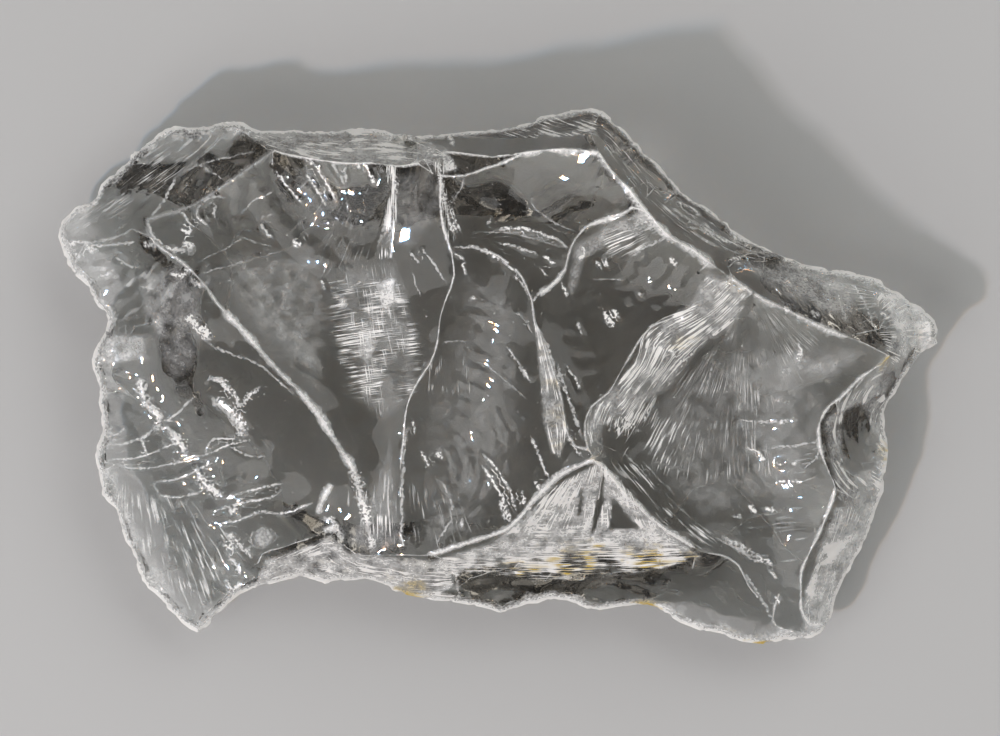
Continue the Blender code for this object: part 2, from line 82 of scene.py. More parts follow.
# How each face of the lump is found: places that lie on it.
FACES = {
    "west bevel": (UP, [-530, 280, -400, 340, -600, 230]),
    "west block": (UP, [-580, 140, -520, 140, -470, 120]),
    "west scar": (UP, [
        -470, -150, -350, -120, -500, -280, -550, 0, -450, 0, -280, -150, -440, -340, -390, 55, -360, 25,
    ]),
    "long face": (UP, [
        -320, 200, -250, 50, -380, 150, -200, 250, -200, -50, -450, 210, -120, 250, -120, 150, -140, 50,
        -160, -120, -160, -220,
    ]),
    "north face": (UP, [60, 270, 0, 240, 140, 290, 50, 190]),
    "heart face": (UP, [
        -40, -30, -30, 100, -50, -180, 30, -150, 10, 80, 80, -65, 68, 20, 90, -110, -110, -240,
    ]),
    "right face": (UP, [210, 110, 270, 150, 150, 50, 160, 180, 120, 0, 110, 100]),
    "fan": (UP, [270, 65, 210, 30, 320, 110, 170, -50]),
    "bowl": (UP, [330, -90, 450, 0, 350, -200, 280, -50, 500, 40, 420, -300, 440, -360]),
    "brow": (UP, [190, -205, 90, -200, 130, -170, 0, -255, 210, -220, 90, -275, 200, -265, 260, -270]),
    "ledge": (UP, [150, -325, 300, -330, 0, -320, 380, -370, 80, -320]),
    "side": (UP, [-200, -295, -120, -300, -270, -275, -320, -290]),
    "north band": (UP, [-230, 345, -310, 355, -150, 335]),
    "north wall": (UP, [20, 355, -80, 352, 90, 370]),
    "lip": (UP, [-30, 313]),
    "north corner": (UP, [170, 345, 185, 310]),
    "loop": (UP, [230, 310]),
    "inner bevel": (UP, [280, 215, 330, 185]),
    "outer bevel": (UP, [300, 240, 360, 205]),
    "lens": (UP, [480, 120, 400, 150, 550, 90]),
    "crust": (UP, [610, 70]),
    "scoop": (UP, [550, -110, 520, -80, 570, -15, 600, 10]),
    "scoop foot": (UP, [530, -170, 560, -175]),
    "east wall": (UP, [510, -275, 540, -210, 485, -340]),
    "seat": (DOWN, [0, 0, 200, -50, -200, 50, -300, 80, 100, 150, 300, -20, 0, -150]),
    "under west": (DOWN, [-500, 120, -450, -50, -500, 200]),
    "under heel": (DOWN, [-520, -160, -460, -280]),
    "under tail": (DOWN, [-300, -260, -360, -300]),
    "under north": (DOWN, [-380, 280, -60, 310, 50, 310]),
    "under east": (DOWN, [480, 60, 260, 240, 460, -140, 500, -200]),
    "under south": (DOWN, [220, -300, -80, -280, 350, -300]),
}
FACE_NUMBER = {name: number for number, name in enumerate(FACES)}
SEAT = FACE_NUMBER["seat"]  # the first face of the underside

# A face grows slowly across a bend: degrees that cost nothing, and millimetres for each one more.
EASY_BEND, BEND_COST = 7, 0.8

# The ridge between two faces stays sharp where it bends more than this, and a bend within a face
# only where it is a real corner.
RIDGE_BEND = math.radians(11)
CORNER_BEND = math.radians(32)

# How far chipped, white glass reaches from a ridge, in millimetres, and how white it is.
PLAIN_RIDGE = (0.13, 0.6)
UNDER_RIDGE = (0.18, 0.5)
RIM = (1.55, 1.0)
WHITE_RIDGES = {
    ("north face", "north wall"): (0.8, 0.8), ("north face", "north corner"): (0.8, 0.8),
    ("right face", "inner bevel"): (1.2, 0.8), ("north face", "inner bevel"): (1.1, 0.8),
    ("north face", "lip"): (0.3, 0.8), ("lip", "north wall"): (0.3, 0.9),
    ("north band", "north wall"): (0.3, 0.7), ("bowl", "lens"): (0.85, 0.8), ("fan", "lens"): (0.9, 0.85),
    ("west scar", "long face"): (0.7, 0.8), ("long face", "west block"): (0.3, 0.6),
    ("right face", "fan"): (0.2, 0.6), ("bowl", "brow"): (0.7, 0.9), ("bowl", "ledge"): (0.2, 0.6),
    ("bowl", "east wall"): (0.35, 0.85), ("bowl", "scoop"): (0.4, 0.85),
    ("heart face", "brow"): (0.5, 0.85), ("heart face", "right face"): (0.25, 0.6),
    ("fan", "bowl"): (0.05, 0.1), ("north face", "right face"): (0.42, 0.85),
    ("long face", "north band"): (0.3, 0.9), ("long face", "north face"): (0.3, 0.9),
    ("long face", "heart face"): (0.2, 0.75), ("west bevel", "long face"): (0.4, 0.28),
    ("west bevel", "west block"): (0.25, 0.3), ("west block", "west scar"): (0.15, 0.25),
    ("north face", "heart face"): (0.2, 0.7), ("seat", "under west"): (0.4, 0.6),
    ("under west", "under heel"): (0.25, 0.5),
}

# A comb's lines: how long their white streaks are, and how far from a ridge they fade in, in
# millimetres. Each line has a middle share of the comb's height, give or take a range, which
# changes by a turn from one line to the next.
STREAK = 10.0
COMB_FADE = 0.8
MIDDLE_HEIGHT, HEIGHT_RANGE, HEIGHT_TURN = 0.65, 0.35, 12.9

# A mark, in millimetres: how far its relief reaches, how far its step takes to rise and to fall
# away again, and its crest's least half width, to which a share of its own is added. Then how
# steeply it grows from its ends, what is there at the very end, and its width there as a share.
MARK_REACH = 2.5
STEP_RISE, STEP_FALL = 0.35, 1.5
CREST_LEAST, CREST_SHARE = 0.2, 0.8
END_SLOPE, END_STRENGTH, END_WIDTH = 5, 0.15, 0.4

# Chips: how fast they die away from a ridge, how strongly their grain bites and what it has to
# pass. The faces' swell is in full this far from a ridge, in millimetres.
CHIP_FALL = 1.5
CHIP_GAIN, CHIP_PASS = 1.5, 0.1
SWELL_FADE = 3

# The distance, half width and whiteness of a line where there is none.
NO_LINE = (9.0, 0.1, 0.0)

# Families of lines that breaking left, in a region of the lump: its side, the layer they are in,
# how they run (rings round a place, rays from it, or lines between two guides), that place or
# those guides, the gap between them (millimetres, degrees, or how many lines there are), their
# height, how narrow their crests are, how white they are, the region's soft margin and corners.
COMBS = {
    "fan terraces": (UP, 0, "guides", (
        [364, 172, 304, 115, 244, 88, 214, 62, 202, 25, 169, -13, 146, -35, 133, -73, 139, -103],
        [376, 115, 346, 82, 304, 47, 262, 2, 236, -32, 214, -73, 202, -110],
    ), 17, 0.22, 1.5, 0.85, 0.8, [
        311, 163, 382, 121, 356, 77, 304, 40, 262, -13, 236, -50, 214, -89, 178, -95, 164, -83, 158, -101,
        166, -125, 139, -118, 127, -73, 142, -38, 172, -8, 199, 28, 214, 70, 244, 91, 296, 118,
    ]),
    "bowl hackles": (UP, 0, "rays", (371, 137), 0.8, 0.06, 3.0, 0.36, 2.6, [
        367, 130, 446, 127, 506, 70, 454, -35, 397, -89, 334, -119, 289, -130, 232, -115, 211, -65, 256, 7,
        304, 62,
    ]),
    "bowl wash": (UP, 1, "rays", (454, 340), 0.6, 0.05, 3.0, 0.6, 2.0, [
        154, -73, 214, -28, 289, -35, 304, -95, 289, -155, 229, -140, 169, -118,
    ]),
    # The lamellae are real grooves; their white is partly a painted highlight, the long glints along the
    # bowl's lower edge.
    "bowl lamellae": (UP, 0, "guides", (
        [139, -95, 169, -140, 214, -193, 259, -238, 304, -268],
        [214, -80, 244, -125, 289, -178, 334, -223, 379, -260],
    ), 9, 0.08, 2.0, 0.5, 1.5, [
        154, -118, 206, -118, 289, -200, 364, -260, 304, -263, 251, -230, 206, -185,
    ]),
    "bowl ripples": (UP, 1, "rings", (394, 475), 4.2, 0.2, 1.5, 0.0, 3.0, [
        289, 10, 529, 25, 514, -185, 454, -365, 364, -275, 289, -215, 214, -125,
    ]),
    "bowl nicks": (UP, 1, "rays", (364, 400), 0.45, 0.04, 2.0, 0.38, 2.0, [
        214, -73, 394, -65, 439, -155, 304, -170, 214, -148,
    ]),
    "bowl far streaks": (UP, 0, "rings", (214, 1015), 0.9, 0.05, 2.0, 0.22, 4.0, [
        304, -155, 499, -35, 499, -275, 439, -350, 349, -260,
    ]),
    "west hackles": (UP, 0, "rays", (-554, -35), 1.7, 0.05, 2.0, 0.46, 2.0, [
        -599, -140, -521, -158, -446, -185, -394, -230, -398, -305, -449, -383, -521, -320, -584, -215,
    ]),
    "west undulation": (UP, 1, "rings", (-656, 70), 6.0, 0.16, 1.2, 0.0, 3.0, [
        -596, 70, -401, 70, -251, -65, -206, -245, -371, -275, -446, -365, -566, -245, -604, -80,
    ]),
    "bevel streaks": (UP, 0, "guides", (
        [-653, 232, -596, 287, -536, 340, -484, 373],
        [-634, 202, -566, 232, -476, 287, -394, 355],
    ), 20, 0.05, 2.0, 0.34, 1.5, [
        -653, 232, -596, 287, -536, 340, -476, 376, -386, 370, -476, 283, -566, 232, -638, 202,
    ]),
    "block ripples": (UP, 1, "rings", (-656, 265), 3.0, 0.16, 1.5, 0.25, 2.0, [
        -634, 190, -446, 205, -401, 100, -581, 70, -611, 130,
    ]),
    "hatch down": (UP, 0, "rays", (-296, 865), 0.32, 0.04, 2.0, 0.46, 2.5, [
        -251, 172, -146, 182, -116, 70, -122, -28, -169, -80, -214, -35, -233, 70,
    ]),
    "hatch across": (UP, 1, "rings", (34, -1535), 0.28, 0.03, 2.0, 0.62, 2.0, [
        -263, 152, -146, 160, -109, 70, -104, 10, -116, -38, -176, -58, -229, -28, -259, 70,
    ]),
    "long face ripples": (UP, 1, "rings", (-101, 385), 4.5, 0.2, 1.5, 0.0, 2.5, [
        -476, 235, -341, 325, -176, 317, -176, 175, -266, 100, -251, -80, -356, 55,
    ]),
    "long face drag": (UP, 0, "rays", (-101, 475), 0.5, 0.04, 2.0, 0.3, 3.0, [
        -341, 317, -176, 310, -179, 172, -251, 115, -296, 205,
    ]),
    "hinge fibres": (UP, 0, "rays", (-149, 1165), 0.26, 0.08, 2.0, 0.9, 1.0, [
        -172, 320, -143, 320, -146, 242, -152, 172, -182, 172, -170, 242,
    ]),
    "hinge fibres east": (UP, 0, "rays", (-101, 1315), 0.26, 0.08, 2.0, 0.8, 0.6, [
        -101, 325, -71, 325, -59, 205, -71, 172, -86, 227,
    ]),
    "heart comb": (UP, 0, "rays", (-71, 565), 0.35, 0.03, 2.0, 0.5, 1.5, [
        -113, 47, -41, 47, -26, -28, -119, -35,
    ]),
    "heart ripples": (UP, 1, "rings", (-109, -140), 2.4, 0.14, 1.5, 0.0, 2.5, [
        -71, 182, 34, 137, 56, -65, 11, -230, -101, -253, -134, -80, -86, 70,
    ]),
    "heart foot": (UP, 0, "rays", (-146, 40), 1.2, 0.04, 2.0, 0.35, 2.5, [
        -139, -140, -41, -185, 4, -238, -101, -268, -146, -260,
    ]),
    "foot streaks": (UP, 0, "rays", (-146, 1015), 0.3, 0.06, 2.0, 0.6, 2.5, [
        -239, -140, -188, -155, -154, -73, -140, -257, -188, -272, -229, -253,
    ]),
    "strip grain": (UP, 0, "guides", (
        [50, 106, 59, 55, 65, -5, 71, -80, 82, -118],
        [55, 103, 76, 47, 97, -23, 110, -80, 100, -122],
    ), 8, 0.06, 1.5, 1.1, 0.3, [
        50, 106, 71, 47, 94, -23, 107, -80, 94, -122, 79, -113, 67, -65, 62, -5, 56, 55,
    ]),
    "north ripples": (UP, 1, "rings", (-86, -65), 2.6, 0.11, 1.5, 0.0, 2.0, [
        -71, 265, 94, 280, 154, 265, 94, 175, 49, 130, -64, 197,
    ]),
    "right ripples": (UP, 1, "rings", (94, 280), 3.2, 0.16, 1.5, 0.0, 2.0, [
        139, 220, 229, 257, 304, 182, 289, 115, 184, 40, 124, -65, 94, 25, 94, 160,
    ]),
    "right sill": (UP, 0, "rays", (394, 295), 1.2, 0.06, 2.0, 0.6, 2.2, [
        139, 217, 221, 257, 274, 205, 214, 172, 154, 172,
    ]),
    "brow flutes": (UP, 0, "rays", (157, -73), 2.6, 0.2, 1.2, 1.1, 0.5, [
        154, -122, 94, -155, 34, -203, 1, -239, 71, -232, 154, -229, 236, -230, 289, -254, 304, -269, 244,
        -218, 199, -170,
    ]),
    "brow cross": (UP, 1, "rings", (94, 1915), 0.6, 0.06, 1.2, 0.7, 0.8, [
        94, -170, 34, -215, 4, -245, 94, -248, 274, -254, 229, -218, 199, -185,
    ]),
    "shelf strata": (UP, 0, "rings", (94, 3565), 0.42, 0.12, 1.2, 0.72, 0.5, [
        -86, -269, -4, -245, 64, -230, 154, -226, 236, -227, 316, -268, 244, -290, 169, -304, 64, -308, -26,
        -296, -79, -302,
    ]),
    "ochre streaks": (UP, 1, "rings", (94, 3565), 0.5, 0.05, 1.2, 0.8, 0.4, [
        -86, -278, 4, -254, 94, -245, 214, -245, 316, -269, 244, -290, 169, -302, 64, -307, -26, -295, -79,
        -302,
    ]),
    "ledge swell": (UP, 1, "rings", (94, 3565), 2.6, 0.1, 1.2, 0.18, 1.0, [
        -59, -308, 94, -308, 274, -284, 394, -335, 439, -380, 304, -388, 229, -335, 154, -347, 64, -332, 4,
        -347,
    ]),
    "side flow": (UP, 0, "guides", (
        [-371, -290, -296, -254, -244, -233, -206, -266, -146, -269, -71, -275],
        [-379, -332, -296, -308, -221, -314, -146, -335, -62, -338],
    ), 11, 0.14, 1.3, 0.62, 0.5, [
        -371, -329, -353, -275, -296, -257, -251, -236, -221, -263, -146, -269, -71, -275, -59, -335, -146,
        -335, -176, -313, -296, -302,
    ]),
    "north band strata": (UP, 0, "guides", (
        [-364, 352, -296, 329, -236, 317, -161, 317, -86, 313],
        [-379, 385, -296, 376, -221, 373, -146, 368, -71, 346],
    ), 9, 0.14, 1.3, 0.72, 0.4, [
        -389, 382, -296, 376, -146, 370, -68, 340, -86, 313, -161, 313, -236, 314, -311, 328, -364, 349,
    ]),
    "north wall slants": (UP, 0, "rays", (-596, 655), 0.5, 0.05, 2.0, 0.7, 0.5, [
        -41, 370, 94, 397, 151, 397, 154, 355, 34, 352,
    ]),
    "bevel runs": (UP, 0, "guides", (
        [157, 397, 214, 325, 304, 245, 394, 193, 454, 172],
        [157, 332, 214, 260, 289, 197, 349, 163, 409, 166],
    ), 13, 0.1, 1.5, 0.48, 0.5, [
        154, 397, 214, 322, 304, 247, 454, 172, 349, 163, 289, 197, 214, 260, 157, 332,
    ]),
    "lens rays": (UP, 0, "rays", (626, 115), 2.5, 0.05, 2.0, 0.45, 1.5, [
        454, 160, 574, 142, 599, 100, 547, 58, 461, 100,
    ]),
    "crust rays": (UP, 0, "rays", (529, 62), 4.0, 0.12, 1.5, 0.8, 0.6, [
        562, 133, 661, 100, 661, 43, 589, 13, 568, 62,
    ]),
    "scoop curls": (UP, 0, "rings", (611, -73), 1.0, 0.16, 1.5, 0.7, 0.9, [
        496, -32, 581, 32, 592, -95, 581, -188, 506, -188, 484, -95,
    ]),
    "east ribs": (UP, 0, "guides", (
        [499, -193, 475, -275, 454, -335, 460, -388],
        [577, -185, 550, -253, 523, -320, 493, -388],
    ), 13, 0.12, 1.5, 0.5, 0.5, [
        502, -193, 574, -185, 544, -260, 493, -383, 458, -383, 458, -305,
    ]),
    "under heel swell": (DOWN, 0, "rings", (-401, -485), 3.2, 0.16, 1.5, 0.2, 2.0, [
        -604, -35, -371, -65, -296, -275, -446, -380, -581, -215,
    ]),
    "under west swell": (DOWN, 0, "rings", (-656, 415), 3.6, 0.16, 1.5, 0.2, 2.0, [
        -641, 265, -371, 355, -296, 115, -371, -65, -611, -35,
    ]),
    "under east swell": (DOWN, 0, "rings", (694, 70), 4.0, 0.18, 1.5, 0.2, 2.0, [
        184, 355, 664, 85, 574, -275, 304, -215, 274, 115,
    ]),
    "under south swell": (DOWN, 1, "rings", (94, -635), 3.6, 0.16, 1.5, 0.2, 2.0, [
        -371, -245, 514, -215, 484, -395, -26, -350, -371, -335,
    ]),
    "under north swell": (DOWN, 1, "rings", (-116, 745), 3.6, 0.16, 1.5, 0.2, 2.0, [
        -506, 370, 154, 397, 304, 220, 94, 175, -371, 190,
    ]),
}

# Single lines: their side, half width, whiteness, height, the step on one side, and their routes.
MARKS = {
    "rivers": (UP, 0.16, 0.75, 0.08, 0.2, [
        [-589, -104, -559, -101, -532, -91, -509, -74, -484, -58, -464, -38, -452, -29],
        [-589, -124, -551, -124, -521, -116, -494, -104, -479, -95],
        [-581, -130, -536, -139, -499, -133, -464, -125, -428, -112, -394, -100, -368, -95],
        [-514, -157, -484, -155, -458, -143, -439, -134, -425, -130],
        [-514, -178, -479, -181, -455, -176, -440, -169], [-413, -185, -379, -173, -349, -166, -320, -161],
        [-434, -224, -386, -215, -359, -203, -323, -206, -296, -197, -275, -187],
        [-428, -202, -386, -190, -353, -185, -323, -173], [-439, -113, -428, -95, -409, -92, -386, -91],
        [-581, -91, -569, -85, -560, -76], [-536, -91, -518, -82, -497, -76], [-533, -95, -526, -118],
        [-401, -106, -371, -118, -344, -119],
    ]),
    "crusted seams": (UP, 0.36, 0.85, 0.14, 0.0, [
        [-164, 325, -154, 301, -152, 280, -158, 253, -164, 232, -170, 205],
        [-91, 325, -86, 298, -80, 271, -77, 244], [-524, -5, -532, -23, -527, -40, -517, -53, -503, -71],
        [-500, -71, -488, -86, -476, -104, -467, -118],
        [-452, -131, -445, -152, -434, -164, -421, -173, -412, -184], [-404, -197, -392, -203],
        [-437, -11, -428, -2, -413, -5, -403, -17, -392, -31, -383, -44, -374, -32, -362, -23, -353, -14],
        # The last line on the next row is a painted highlight, a bluish glint drawn as a white seam.
        [-431, -28, -416, -43, -401, -58, -386, -80, -376, -89], [-455, 88, -442, 74, -433, 53],
        [-529, 202, -518, 196, -506, 199], [-497, 194, -476, 188, -452, 187],
        [-491, 154, -470, 151, -458, 163], [-461, 146, -449, 140, -439, 134], [-644, 200, -632, 200],
        [-635, 185, -626, 178], [-619, 194, -604, 187], [-409, -233, -394, -245, -382, -257, -368, -265],
        [-404, -269, -392, -284, -386, -298], [-377, -257, -368, -272],
        [-410, -305, -398, -320, -383, -310], [-413, -253, -394, -260],
        [-262, -212, -248, -214, -239, -230, -233, -253],
    ]),
    "bright bands": (UP, 0.62, 1.0, 0.22, 0.0, [
        [-221, -128, -209, -158, -199, -197, -191, -233, -187, -263],
        [-535, -32, -524, -41, -512, -53, -502, -64], [-491, -79, -482, -91, -475, -101, -464, -115],
        [-451, -146, -440, -158, -427, -170, -412, -182], [-428, -35, -413, -43, -395, -59, -374, -83],
        [-533, -2, -536, -14, -532, -29], [-400, -196, -391, -205],
        # The next band is a painted highlight, the same bluish glint drawn as a bright white band.
        [-470, 88, -452, 82, -439, 68, -428, 53],
    ]),
    "long seams": (UP, 0.19, 0.65, 0.06, 0.1, [
        [-133, -73, -139, -110, -142, -155, -143, -208, -145, -263],
        [-439, 53, -413, 41, -386, 31, -359, 19, -338, 4, -322, -11, -296, -32],
        [-521, 238, -502, 257, -490, 280, -482, 298], [-473, 247, -461, 232, -451, 221],
        [-404, 266, -425, 268, -440, 260, -448, 247, -443, 233, -431, 226],
        [-418, 256, -425, 247, -421, 236], [-521, 233, -518, 217, -509, 205, -499, 194],
        [-656, 208, -596, 196, -536, 202], [-574, 179, -554, 167, -536, 163], [-596, 148, -574, 160],
        [-536, 136, -514, 131], [-157, 265, -170, 227, -178, 193],
        [-148, 287, -151, 257, -157, 220, -161, 182], [-113, 194, -98, 172, -77, 142],
        [-130, 187, -116, 167], [-86, -155, -74, -173, -68, -190, -68, -203],
        [-64, -208, -79, -230, -91, -250], [65, 65, 76, 40, 86, 7, 103, -28, 116, -65, 128, -95],
        [88, 25, 98, -13, 112, -50, 124, -80], [95, -80, 109, -98, 127, -121],
        [364, -286, 386, -320, 401, -343, 416, -368], [457, -137, 472, -125, 481, -107],
        [394, -106, 439, -104, 469, -98, 479, -95], [356, -64, 394, -68, 443, -65],
        [325, -241, 356, -257, 386, -275, 416, -283], [256, 254, 289, 232, 334, 212],
        [161, 212, 191, 232, 221, 241], [187, 217, 221, 229, 232, 235], [191, 205, 226, 220, 244, 226],
        [196, 178, 229, 197, 262, 211], [-68, -268, -62, -298, -56, -332],
        [22, 152, 34, 142, 44, 127, 49, 112], [73, 136, 61, 122, 50, 109], [25, 95, 34, 92, 44, 82, 52, 62],
        [11, 47, 26, 28, 41, 2, 52, -10], [506, 130, 521, 77], [526, 143, 547, 115, 566, 62],
    ]),
    "hairlines": (UP, 0.12, 0.42, 0.0, 0.05, [
        [-365, -230, -370, -244, -362, -256, -349, -259], [-337, -251, -332, -238, -341, -227],
        [-359, -239, -350, -247], [-479, 299, -446, 316, -401, 328, -359, 337],
        [-454, 320, -431, 307, -404, 292], [-386, 242, -368, 260, -344, 271, -332, 277],
        [-353, 236, -334, 245], [-386, 211, -362, 200, -338, 196], [-446, 172, -409, 190, -379, 208],
        [-446, 151, -386, 170, -319, 187], [-311, 212, -292, 232], [-292, 232, -281, 205],
        [-128, 157, -121, 137, -116, 118], [-251, 131, -232, 133, -211, 137, -199, 149],
        [-41, 214, 4, 214, 41, 209, 71, 200, 97, 190], [-50, 298, -53, 280, -64, 265, -68, 250],
        [49, 265, 58, 247, 71, 238, 94, 223, 121, 215], [-86, 52, -56, 53, -41, 49],
        [-41, 25, -16, 16, 8, -2, 31, -23, 44, -35], [214, -125, 244, -155, 266, -178],
        [184, -110, 229, -155], [139, 145, 191, 145], [304, -43, 322, 25],
        [-514, -157, -514, -167, -506, -176], [-596, 245, -578, 257, -554, 280], [-229, 280, -221, 242],
        [-176, 317, -173, 301],
    ]),
    # The hackles are real raised lines, but their white is partly a painted highlight, the glint a lamp
    # makes on each step's edge.
    "hackles": (UP, 0.2, 1.0, 0.16, 0.0, [
        [-332, 308, -314, 286, -289, 257], [-289, 325, -269, 310, -254, 290, -238, 257],
        [-286, 307, -269, 280, -254, 253], [-247, 320, -235, 299, -226, 286], [-227, 313, -224, 287],
        [-197, 317, -190, 302, -184, 286], [-208, 320, -205, 310],
        [-1, 221, 34, 220, 71, 211, 94, 200, 106, 191], [2, 199, 26, 193, 46, 187, 59, 181],
        [68, 179, 77, 175, 85, 169], [-76, 254, -73, 232, -64, 212], [-68, 254, -62, 232, -56, 217],
        [-17, 226, -10, 235], [-68, 191, -41, 193, -19, 188, -1, 178, 16, 166, 34, 152],
        [-64, 184, -47, 172], [-53, 170, -46, 152], [64, 160, 76, 148], [89, 155, 94, 148],
        [-25, -113, -4, -133, 11, -155, 25, -185, 29, -203],
        [-26, -130, -8, -152, 7, -178, 16, -203, 19, -218], [4, -185, 11, -215], [37, -170, 40, -193],
        [49, -88, 59, -110, 68, -133, 76, -152], [56, -155, 64, -170], [-52, -211, -55, -226],
        # The first two lines on the next row are painted glints only, drawn where a lamp glints in the
        # glass.
        [-115, -110, -107, -125, -101, -136], [-127, -62, -124, -85], [119, 82, 125, 62],
        [94, 142, 103, 118], [101, 17, 116, -5, 124, -20], [34, 16, 49, -5],
        [278, 223, 304, 217, 334, 205, 371, 190], [265, 262, 289, 250, 304, 238], [341, 170, 364, 178],
        [334, -239, 364, -253, 394, -271, 416, -281], [406, -290, 421, -302], [415, -329, 424, -343],
        [371, -106, 389, -113, 401, -127], [416, -130, 428, -130], [439, -130, 448, -130],
        [418, -155, 433, -157], [439, -155, 454, -157], [-263, 145, -257, 130],
        [-353, 230, -344, 215, -337, 208], [146, 172, 154, 160], [160, 178, 163, 163],
    ]),
    # The glints are painted glints: short white nicks laid where a lamp would glint in the glass, on a
    # little raised relief.
    "glints": (UP, 0.3, 1.3, 0.12, 0.0, [
        [-473, 220, -458, 215], [-470, 200, -452, 194], [-305, 205, -293, 193], [-41, 116, -32, 115],
        [-89, -110, -83, -125], [124, 194, 130, 187, 121, 172], [158, 97, 166, 82, 173, 73],
        [170, 100, 181, 88], [208, 125, 217, 118], [256, 178, 265, 164], [374, -193, 388, -205],
        [401, -197, 415, -200], [353, -209, 365, -211], [419, -70, 443, -64], [448, 50, 452, 40, 449, 22],
        [428, 104, 433, 95], [466, 94, 481, 92], [571, 95, 583, 92], [-134, 368, -128, 350],
        [-73, 362, -64, 344],
    ]),
    "under seams": (DOWN, 0.2, 0.6, 0.1, 0.0, [
        [-376, -53, -353, -83, -334, -113, -314, -146, -302, -178], [-236, 250, -218, 175, -221, 85],
        [214, 115, 304, 70, 394, 70], [-26, 115, 4, 55, 94, 40], [304, -275, 364, -215, 454, -185],
    ]),
}

